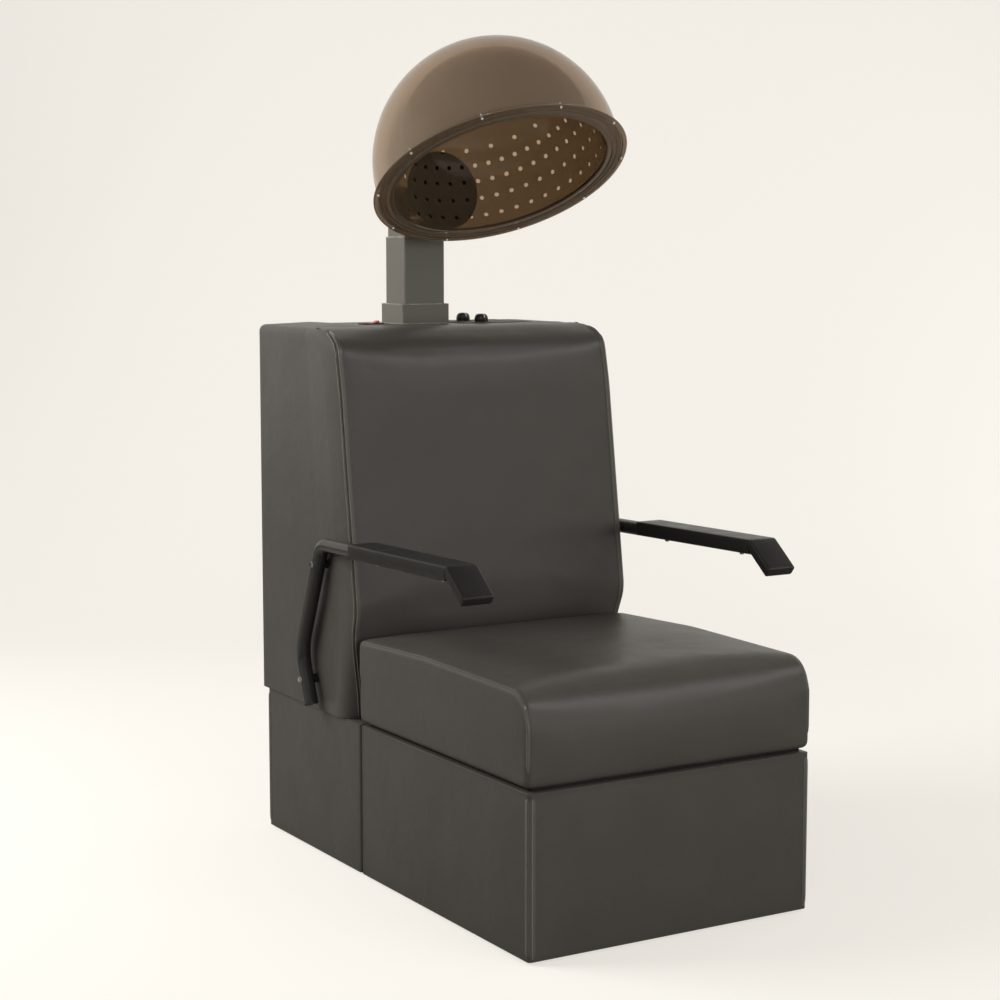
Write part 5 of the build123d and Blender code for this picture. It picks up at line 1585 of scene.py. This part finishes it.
@dataclass
class Hood:
    """The smoked hood: outer dome, perforated liner and grooved rim."""

    axes: HoodFrame
    wall: float = 0.003
    liner_radius: float = 0.214
    liner_wall: float = 0.002
    hole_radius: float = 0.0045
    rim_flange: float = 0.0025
    lip: float = 0.006

    def build(self) -> None:
        """Build the three clear mouldings."""
        self._dome()
        self._liner()
        self._rim()

    def _dome(self) -> None:
        """The outer dome with its straight skirt."""
        foot = self.rim_flange - self.axes.skirt
        outer, inner = self.axes.radius, self.axes.radius - self.wall
        steps, skirt_steps, tip = 60, 5, 0.0004

        def quarter(radius: float) -> list[Flat]:
            """A quarter circle from the skirt to just short of the crown."""
            return [(radius * cos(pi / 2 * i / steps), radius * sin(pi / 2 * i / steps)) for i in range(steps)]

        section = [(outer, foot * (1 - i / skirt_steps)) for i in range(skirt_steps)]
        section += [*quarter(outer), (tip, outer), (tip, inner), *quarter(inner)[::-1]]
        section += [(inner, foot * (i + 1) / skirt_steps) for i in range(skirt_steps)]
        sketch = Sketch()
        self.axes.lathe(sketch, section)
        dress(sketch.build("hood_dome", 60), SMOKED_SHELL, Body.HOOD, ["hood_shell"])

    def _direction(self, turn: float, polar: float, radius: float) -> Vector:
        """A point on the liner: polar runs from the crown and goes on down the skirt past 90 degrees.

        Args:
            turn: Degrees round the axis.
            polar: Degrees from the crown.
            radius: The skin's radius.

        Returns:
            The point in space.
        """
        if polar <= 90:
            lean = radians(polar)
            return self.axes.at(radius * sin(lean), radius * cos(lean), radians(turn))
        drop = radians(polar - 90) * self.liner_radius
        return self.axes.at(radius, -drop, radians(turn))

    def _cell(
        self, skins: Sequence[Sketch], turns: Flat, polars: Flat, across: int, down: int, hole: Flat
    ) -> list[Flat]:
        """One patch of the liner with a hole in it.

        Args:
            skins: The outer and inner skins being drawn.
            turns: First and last turn of the patch, in degrees.
            polars: First and last polar angle of the patch.
            across: Steps along the patch's upper and lower edges.
            down: Steps along its sides.
            hole: Turn and polar angle of the hole's middle.

        Returns:
            The hole's rim as turns and polar angles.
        """
        rim = [(turns[0] + (turns[1] - turns[0]) * i / across, polars[0]) for i in range(across)]
        rim += [(turns[1], polars[0] + (polars[1] - polars[0]) * i / down) for i in range(down)]
        rim += [(turns[1] + (turns[0] - turns[1]) * i / across, polars[1]) for i in range(across)]
        rim += [(turns[0], polars[1] + (polars[0] - polars[1]) * i / down) for i in range(down)]
        spread = sin(radians(min(hole[1], 90.0)))
        size = self.hole_radius / self.liner_radius * 180 / pi
        circle = []
        for turn, polar in rim:
            angle = atan2(polar - hole[1], (turn - hole[0]) * spread)
            circle.append((hole[0] + size * cos(angle) / spread, hole[1] + size * sin(angle)))
        rings = [rim]
        for share in (0.45, 0.8):
            rings.append([(a + (c - a) * share, b + (d - b) * share) for (a, b), (c, d) in zip(rim, circle)])
        rings.append(circle)
        for skin, radius in zip(skins, (self.liner_radius, self.liner_radius - self.liner_wall)):
            skin.loft([[self._direction(turn, polar, radius) for turn, polar in ring] for ring in rings])
        return circle

    def _liner(self) -> None:
        """The liner: a dome with rings of air holes and a plain cap and skirt."""
        skins = (Sketch(), Sketch())
        radii = (self.liner_radius, self.liner_radius - self.liner_wall)
        holes = []
        count = 42
        step = 360 / count
        for turn_place in range(count // 2):
            start = 2 * step * turn_place - step
            turns, middle = (start, start + 2 * step), (start + step, 53.5)
            holes.append(self._cell(skins, turns, (49.0, 58.0), 8, 4, middle))
        bands = ((58.0, 66.25, 62.0), (66.25, 75.25, 70.5), (75.25, 85.0, 80.0), (85.0, 95.0, 90.0))
        for low, high, polar in bands:
            for turn_place in range(count):
                start = step * (turn_place - 1)
                turns, middle = (start, start + step), (start + step / 2, polar)
                holes.append(self._cell(skins, turns, (low, high), 4, 4, middle))
        foot = 90 + (self.axes.skirt - self.rim_flange) / self.liner_radius * 180 / pi
        turns = [step / 4 * index for index in range(count * 4)]
        cap = [0.3, 3, 7, 12, 17, 22, 27, 32, 36.5, 41, 45, 49]
        skirt = [95 + (foot - 95) * index / 3 for index in range(4)]
        for skin, radius in zip(skins, radii):
            places = skin.loft([[self._direction(turn, polar, radius) for turn in turns] for polar in cap])
            skin.cap(places[0])
            skin.loft([[self._direction(turn, polar, radius) for turn in turns] for polar in skirt])
        outer, inner = skins
        joined = Sketch()
        offset = len(outer.points)
        joined.points = outer.points + inner.points
        joined.faces = outer.faces + [tuple(place + offset for place in face[::-1]) for face in inner.faces]
        for circle in [*holes, [(turn, foot) for turn in turns]]:
            joined.loft([[self._direction(turn, polar, radius) for turn, polar in circle] for radius in radii])
        dress(joined.build("hood_liner_perforated", 50), SMOKED_LINER, Body.HOOD, ["hood_liner"])

    def _rim(self) -> None:
        """The rim: a flange with stepped grooves below, three lips above and a bead outside."""
        base = -self.axes.skirt
        top = base + self.rim_flange
        outer = self.axes.rim_radius
        bead = 0.0022
        dome = self.axes.radius
        inner = self.liner_radius - self.liner_wall
        round_bead = [
            (outer - bead + bead * cos(radians(a)), base + bead + bead * sin(radians(a)))
            for a in range(-90, 91, 15)
        ]
        section = [(inner, top), (inner - 0.0007, top - 0.0008), (inner, base)]
        for radius, dip in ((0.2195, 0.0009), (0.229, 0.0013), (0.2405, 0.0012)):
            section += [
                (radius - 0.0014, base), (radius - 0.0005, base + dip), (radius + 0.0022, base + dip),
                (radius + 0.0031, base),
            ]
        section += round_bead
        for edge in (dome, dome - self.wall - self.rim_flange, self.liner_radius):
            width = self.rim_flange
            section += [
                (edge + width, top), (edge + width, top + self.lip * 0.8), (edge + width * 0.8, top + self.lip),
                (edge + width * 0.2, top + self.lip), (edge, top + self.lip * 0.85), (edge, top),
            ]
        sketch = Sketch()
        self.axes.lathe(sketch, section)
        dress(sketch.build("hood_rim_moulding", 50), SMOKED_RIM, Body.HOOD, ["hood_rim"])


# ------------------------------------------------------------------ arm pads
@dataclass
class ArmPad:
    """A moulded pad on one arm: a long level part and a tip that drops in front."""

    side: Side
    over: float = 0.0193
    under: float = 0.0083
    level: float = 0.371
    tip_length: float = 0.0745
    tip_drop: float = 38.7
    tip_thickness: float = 0.020
    rise: float = 1.03
    corner: float = 0.0042
    pivot: float = 0.012
    level_rows: int = 21
    bend_rows: int = 6
    tip_rows: int = 8

    @staticmethod
    def _axes(lean: float) -> tuple[Vector, Vector]:
        """The forward and upward directions of a part that rises by so many degrees."""
        angle = radians(lean)
        return Vector((0, -cos(angle), sin(angle))), Vector((0, sin(angle), cos(angle)))

    def _section(
        self, centre: Vector, axes: tuple[Vector, Vector], top: float, bottom: float, width: float
    ) -> list[Vector]:
        """A rounded oblong section across the pad.

        Args:
            centre: The section's origin.
            axes: The forward and upward directions.
            top: Height of its top above the origin.
            bottom: Height of its underside.
            width: Its width.

        Returns:
            The points in order.
        """
        along, up = axes
        across = along.cross(up).normalized()
        corner = self.corner
        result = []
        for side, rise, start in ((1, top, 0), (-1, top, 90), (-1, bottom, 180), (1, bottom, 270)):
            mid_x = side * (width / 2 - corner)
            mid_z = rise - corner if rise == top else rise + corner
            for step in range(6):
                angle = radians(start + 18 * step)
                out = across * (mid_x + corner * cos(angle)) + up * (mid_z + corner * sin(angle))
                result.append(centre + out)
        return result

    def _level_part(self, start: Vector, width: float) -> list[list[Vector]]:
        """Rows from the rounded rear end along the level part.

        Args:
            start: The rear end, on the tube's axis.
            width: The pad's width.

        Returns:
            The rows.
        """
        axes = along, _ = self._axes(self.rise)
        rows = []
        for place, shrink in ((0.0, 0.0022), (0.0012, 0.0006), (0.003, 0.0)):
            top, bottom = self.over - shrink, shrink - self.under
            rows.append(self._section(start + along * place, axes, top, bottom, width - 2 * shrink))
        for index in range(1, self.level_rows + 1):
            spot = start + along * (0.003 + (self.level - 0.013) * index / self.level_rows)
            rows.append(self._section(spot, axes, self.over, -self.under, width))
        return rows

    def _bend(self, hinge: Vector, width: float) -> list[list[Vector]]:
        """Rows round the bend, which thins down to the tip.

        Args:
            hinge: The middle of the bend.
            width: The pad's width.

        Returns:
            The rows.
        """
        depth = self.over + self.under
        rows = []
        for index in range(1, self.bend_rows):
            share = index / self.bend_rows
            axes = _, up = self._axes(self.rise - (self.rise + self.tip_drop) * share)
            thick = depth + (self.tip_thickness - depth) * share
            rows.append(self._section(hinge + up * (self.pivot - thick), axes, thick, 0.0, width))
        return rows

    def _tip(self, hinge: Vector, width: float) -> list[list[Vector]]:
        """Rows along the dropped tip to its rounded end.

        Args:
            hinge: The middle of the bend.
            width: The pad's width.

        Returns:
            The rows.
        """
        axes = along, up = self._axes(-self.tip_drop)
        start = hinge + up * self.pivot
        steps = [(0.006 + (self.tip_length - 0.010) * i / self.tip_rows, 0.0) for i in range(1, self.tip_rows + 1)]
        steps += [(self.tip_length - 0.0022, 0.0006), (self.tip_length - 0.001, 0.0022)]
        rows = []
        for place, shrink in steps:
            spot = start + along * place - up * (self.tip_thickness - shrink)
            rows.append(self._section(spot, axes, self.tip_thickness - 2 * shrink, 0.0, width - 2 * shrink))
        return rows

    def build(self) -> None:
        """Make the pad from its rear end to the end of its tip."""
        node = f"{self.side.name.lower()}_arm_pad"
        low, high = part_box(node)
        width = high.x - low.x
        along, up = self._axes(self.rise)
        rear_z = high.z - self.over - self.level * sin(radians(self.rise))
        start = Vector(((low.x + high.x) / 2, high.y, rear_z))
        hinge = start + along * self.level + up * (self.over - self.pivot)
        sketch = Sketch()
        sketch.solid(self._level_part(start, width) + self._bend(hinge, width) + self._tip(hinge, width))
        pad = sketch.build(f"{node}_moulded", 30)
        dress(pad, ARM_PAD, Body.CHAIR, [node])


# ------------------------------------------------------------------ controls
@dataclass
class Knob:
    """A fluted knob with a domed cap, a chrome ring in its skirt and a pointer, over a printed dial."""

    node: str
    dial: str
    body: Body
    marks: tuple[str, ...]
    sweep: float
    flutes: int = 20
    flute_depth: float = 0.0006
    cap: float = 0.96
    cap_rise: float = 0.56
    squareness: float = 0.5
    ring_rise: float = 0.0008407
    wire: float = 0.0004

    def build(self) -> None:
        """Make the knob, its ring, its pointer and the print on its dial."""
        low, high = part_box(self.node)
        centre = Vector(((low.x + high.x) / 2, (low.y + high.y) / 2, low.z))
        radius = (high.x - low.x) / 2
        height = high.z - low.z
        cap, cap_foot = radius * self.cap, height * self.cap_rise
        section = [
            (0.001, 0.0, 0), (radius, 0.0, 0), (radius, 0.0020, 0), (radius * 0.97, 0.0028, 0),
            (radius * 0.96, 0.0034, 1), (radius * 0.94, height * 0.50, 1), (cap, cap_foot, 0.5),
        ]
        section += [
            (cap * cos(radians(a)) ** self.squareness, cap_foot + (height - cap_foot) * sin(radians(a)), 0)
            for a in (18, 36, 54, 72, 88)
        ]
        rows = []
        for step in range(120):
            turn = 2 * pi * step / 120
            row = []
            for reach, rise, fluted in section:
                wave = reach - self.flute_depth * fluted * (1 + cos(turn * self.flutes)) / 2
                row.append(centre + heading(turn) * wave + Vector((0, 0, rise)))
            rows.append(row)
        sketch = Sketch()
        places = sketch.loft(rows, closed=False, wrap=True)
        sketch.cap([row[0] for row in places])
        sketch.cap([row[-1] for row in places][::-1])
        dress(sketch.build(f"{self.node}_fluted", 35), BLACK_PLASTIC, self.body, [self.node])
        self._ring(centre, cap)
        self._pointer(centre, radius, height)
        self._print(centre, radius)
        self._numbers(centre)

    def _ring(self, centre: Vector, radius: float) -> None:
        """A thin bright ring inside the skirt.

        Args:
            centre: The middle of the knob's foot.
            radius: The ring's radius.
        """
        sketch = Sketch()
        rows = []
        for step in range(72):
            turn = 2 * pi * step / 72
            sides = (0, pi / 2, pi, 1.5 * pi)
            spokes = [(radius + self.wire * cos(a), self.ring_rise + self.wire * sin(a)) for a in sides]
            rows.append([centre + heading(turn) * reach + Vector((0, 0, z)) for reach, z in spokes])
        sketch.loft(rows, wrap=True)
        dress(sketch.build(f"{self.node}_ring", 80), CHROME, self.body)

    def _pointer(self, centre: Vector, radius: float, height: float) -> None:
        """A raised white line on the cap, towards the sitter.

        Args:
            centre: The middle of the knob's foot.
            radius: The knob's radius.
            height: The knob's height.
        """
        half, below, above = 0.0006, -0.0004, 0.0003
        section = ((-half, below), (half, below), (half, above), (-half, above))
        rows = []
        for index in range(9):
            share = 0.25 + 0.7 * index / 8
            dome = (1 - share ** (2 / self.squareness)) ** 0.5
            rise = height * (self.cap_rise + (1 - self.cap_rise) * dome)
            base = centre + Vector((0, -radius * self.cap * share, rise))
            rows.append([base + Vector((x, 0, z)) for x, z in section])
        sketch = Sketch()
        sketch.solid(rows)
        dress(sketch.build(f"{self.node}_pointer", 60), PRINT_WHITE, self.body)

    def _print(self, centre: Vector, radius: float) -> None:
        """Tick marks round the dial, a long one for each number and a short one between.

        Args:
            centre: The middle of the knob's foot.
            radius: The knob's radius.
        """
        _, dial_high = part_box(self.dial)
        sketch = Sketch()
        ring = (dial_high.x - centre.x + radius) / 2
        ticks = (len(self.marks) - 1) * 2
        half, gap, thick = 0.0002, 0.00002, 0.00012
        for index in range(ticks + 1):
            out = heading(radians(-90 - self.sweep * index / ticks))
            side = Vector((-out.y, out.x, 0))
            length = 0.0022 if index % 2 == 0 else 0.0012
            start = centre + out * (ring - length / 2)
            start.z = dial_high.z + gap
            outline = ((-half, 0), (half, 0), (half, length), (-half, length))
            corners = [start + side * across + out * along for across, along in outline]
            sketch.solid([corners, [corner + Vector((0, 0, thick)) for corner in corners]])
        dress(sketch.build(f"{self.dial}_marks", 60), PRINT_WHITE, Body.CHAIR)

    def _numbers(self, centre: Vector) -> None:
        """Plain numbers on the control plate, one for each long mark.

        Args:
            centre: The middle of the knob's foot.
        """
        _, dial_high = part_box(self.dial)
        _, plate_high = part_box("control_plate")
        ring = dial_high.x - centre.x + 0.0048
        for index, text in enumerate(self.marks):
            turn = radians(-90 - self.sweep * index / (len(self.marks) - 1))
            curve = bpy.data.curves.new(f"{self.dial}_number", "FONT")
            curve.body = text
            curve.size = 0.0052
            curve.extrude = 0.00006
            curve.align_x = "CENTER"
            curve.align_y = "CENTER"
            flat = stand("number", curve)
            mesh = bpy.data.meshes.new_from_object(flat.evaluated_get(bpy.context.evaluated_depsgraph_get()))
            bpy.data.objects.remove(flat)
            spot = centre + heading(turn) * ring
            spot.z = plate_high.z + 0.00008
            for vertex in mesh.vertices:
                vertex.co += spot
            number = stand(f"{self.dial}_number_{index}", mesh)
            dress(number, PRINT_WHITE, Body.CHAIR)


# ------------------------------------------------------------------ stage, light and camera
@dataclass(frozen=True)
class Lamp:
    """A rectangular lamp; one that shines shows in reflections."""

    name: str
    spot: tuple[float, float, float]
    aim: tuple[float, float, float]
    size: Flat
    watts: float
    shines: bool = False

    def hang(self) -> None:
        """Put the lamp in its place, turned to what it lights."""
        light = bpy.data.lights.new(self.name, "AREA")
        light.shape = "RECTANGLE"
        light.size, light.size_y = self.size
        light.energy = self.watts
        light.color = (1.0, 0.985, 0.96)
        holder = stand(self.name, light)
        holder.location = self.spot
        holder.visible_glossy = self.shines
        holder.visible_transmission = False
        holder.rotation_euler = (Vector(self.aim) - Vector(self.spot)).to_track_quat("-Z", "Y").to_euler()


LAMPS = (
    Lamp("key", (-2.4, 1.5, 2.15), (0, 0.3, 1.4), (2.2, 2.2), 160.0),
    Lamp("side", (4.2, 0.4, 1.3), (0, 0.1, 0.7), (2.6, 1.8), 65.0),
    Lamp("glint", (-2.2, -2.9, 3.0), (0, 0, 1.2), (0.5, 0.5), 14.0, shines=True),
    Lamp("fill", (2.3, -2.8, 3.4), (0, 0, 0.8), (2.4, 0.5), 24.0, shines=True),
    Lamp("front", (0.6, -4.6, 1.3), (0, 0, 0.4), (3.2, 2.0), 155.0),
    Lamp("rim", (-0.6, 3.3, 2.7), (0, 0, 0.9), (2.4, 2.4), 15.0),
)


@dataclass
class Studio:
    """A pale floor that sweeps up behind the chair, soft lamps and the camera."""

    paper: str = "efebe4"
    shade: str = "77736d"
    camera_at: tuple[float, float, float] = (-2.15487, -3.53294, 1.21554)
    camera_turn: float = -30.90
    camera_drop: float = 6.78
    lens: float = 77.6
    sensor: float = 36.0
    floor_end: float = 2.4
    bend: float = 1.6
    half_span: float = 30.0
    wall_top: float = 7.0
    floor_glow: float = 0.73
    faint: float = 0.34
    room_glow: float = 0.84

    def build(self) -> None:
        """Make everything that isn't the chair."""
        self._sweep()
        self._world()
        for lamp in LAMPS:
            lamp.hang()
        self._camera()

    def _sweep(self) -> None:
        """One sheet: floor in front, a big curve and a wall behind, facing the camera."""
        sketch = Sketch()
        end, bend = self.floor_end, self.bend
        section = [(-self.half_span, 0.0), (end, 0.0)]
        section += [(end + bend * sin(radians(a)), bend * (1 - cos(radians(a)))) for a in range(10, 91, 10)]
        section += [(end + bend, self.wall_top)]
        turn = Euler((0, 0, radians(self.camera_turn))).to_matrix()
        columns = (-self.half_span, -4, 4, self.half_span)
        rows = [[turn @ Vector((x, y, z)) for y, z in section] for x in columns]
        sketch.loft(rows, closed=False)
        sweep = sketch.build("studio_sweep", 180)
        material = bpy.data.materials.new("studio_paper")
        material.use_nodes = True
        sheet = NodeSheet(material.node_tree)
        path, seen = sheet.seen()
        paper, shade = (*linear(self.paper), 1), (*linear(self.shade), 1)
        colour = sheet.mix(seen, shade, (*[c * self.faint for c in linear(self.paper)], 1))
        spot = sheet.add("ShaderNodeSeparateXYZ", {0: sheet.add("ShaderNodeNewGeometry").outputs["Position"]})
        up = sheet.spread(spot.outputs["Z"], 0.05, 0.7, 0.0, 0.6)
        wall = sheet.math("MULTIPLY", path.outputs["Is Glossy Ray"], up)
        lift = sheet.math("ADD", sheet.math("MULTIPLY", seen, self.floor_glow), wall)
        shader = sheet.add(
            "ShaderNodeBsdfPrincipled",
            {"Base Color": colour, "Roughness": 0.9, "Emission Color": paper, "Emission Strength": lift},
        )
        sheet.add("ShaderNodeOutputMaterial", {"Surface": shader.outputs[0]})
        sweep.data.materials.append(material)

    def _world(self) -> None:
        """Plain pale surroundings; as light, a low band, brightest behind the chair, under a dim ceiling."""
        world = bpy.data.worlds.new("studio_room")
        bpy.context.scene.world = world
        world.use_nodes = True
        sheet = NodeSheet(world.node_tree)
        _, seen = sheet.seen()
        look = sheet.add("ShaderNodeTexCoord").outputs["Generated"]
        height = sheet.add("ShaderNodeSeparateXYZ", {0: look}).outputs["Z"]
        ahead = Vector((-sin(radians(self.camera_turn)), cos(radians(self.camera_turn)), 0))
        behind = sheet.add("ShaderNodeVectorMath", {0: look, 1: ahead}, operation="DOT_PRODUCT").outputs["Value"]
        band = sheet.spread(height, 0.28, 0.55, 1.0, 0.30)
        room = sheet.math("MULTIPLY", band, sheet.spread(behind, -0.9, 0.8, 0.30, 0.95))
        plain = sheet.math("MULTIPLY", seen, self.room_glow)
        rest = sheet.math("MULTIPLY", sheet.math("SUBTRACT", 1.0, seen), room)
        strength = sheet.math("ADD", plain, rest)
        light = sheet.add("ShaderNodeBackground", {"Color": (*linear(self.paper), 1), "Strength": strength})
        sheet.add("ShaderNodeOutputWorld", {"Surface": light.outputs[0]})

    def _camera(self) -> None:
        """The camera, level from side to side."""
        lens = bpy.data.cameras.new("camera")
        lens.lens = self.lens
        lens.sensor_width = self.sensor
        camera = stand("camera", lens)
        camera.location = self.camera_at
        camera.rotation_euler = (radians(90 - self.camera_drop), 0, radians(self.camera_turn))
        bpy.context.scene.camera = camera


def finish_carried_nodes() -> None:
    """Give every construction node that still shows its finish."""
    for finish, names in CARRIED_FINISHES.items():
        for name in names:
            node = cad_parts[name]
            node.data.materials.clear()
            node.data.materials.append(finish.material())
            log.info("%s: %s", name, finish.name)


def main() -> None:
    """Build the chair in order, from the studio to the hood."""
    logging.basicConfig(level=logging.INFO, format="%(name)s %(message)s")
    bpy.context.scene.view_settings.view_transform = "Standard"
    Studio().build()
    finish_carried_nodes()
    BaseCover("front_cover", hidden="rear").build()
    BaseCover("rear_cover", hidden="front").build()
    seat_cushion()
    Back(BackShape()).build()
    for side in Side:
        ArmPad(side).build()
    Hood(HoodFrame()).build()
    Knob("timer_knob", "timer_dial", Body.TIMER, ("0", "15", "30", "45", "60"), 300).build()
    Knob("heat_knob", "heat_dial", Body.HEAT, ("0", "1", "2", "3"), 270).build()


if __name__ == "__main__":
    main()
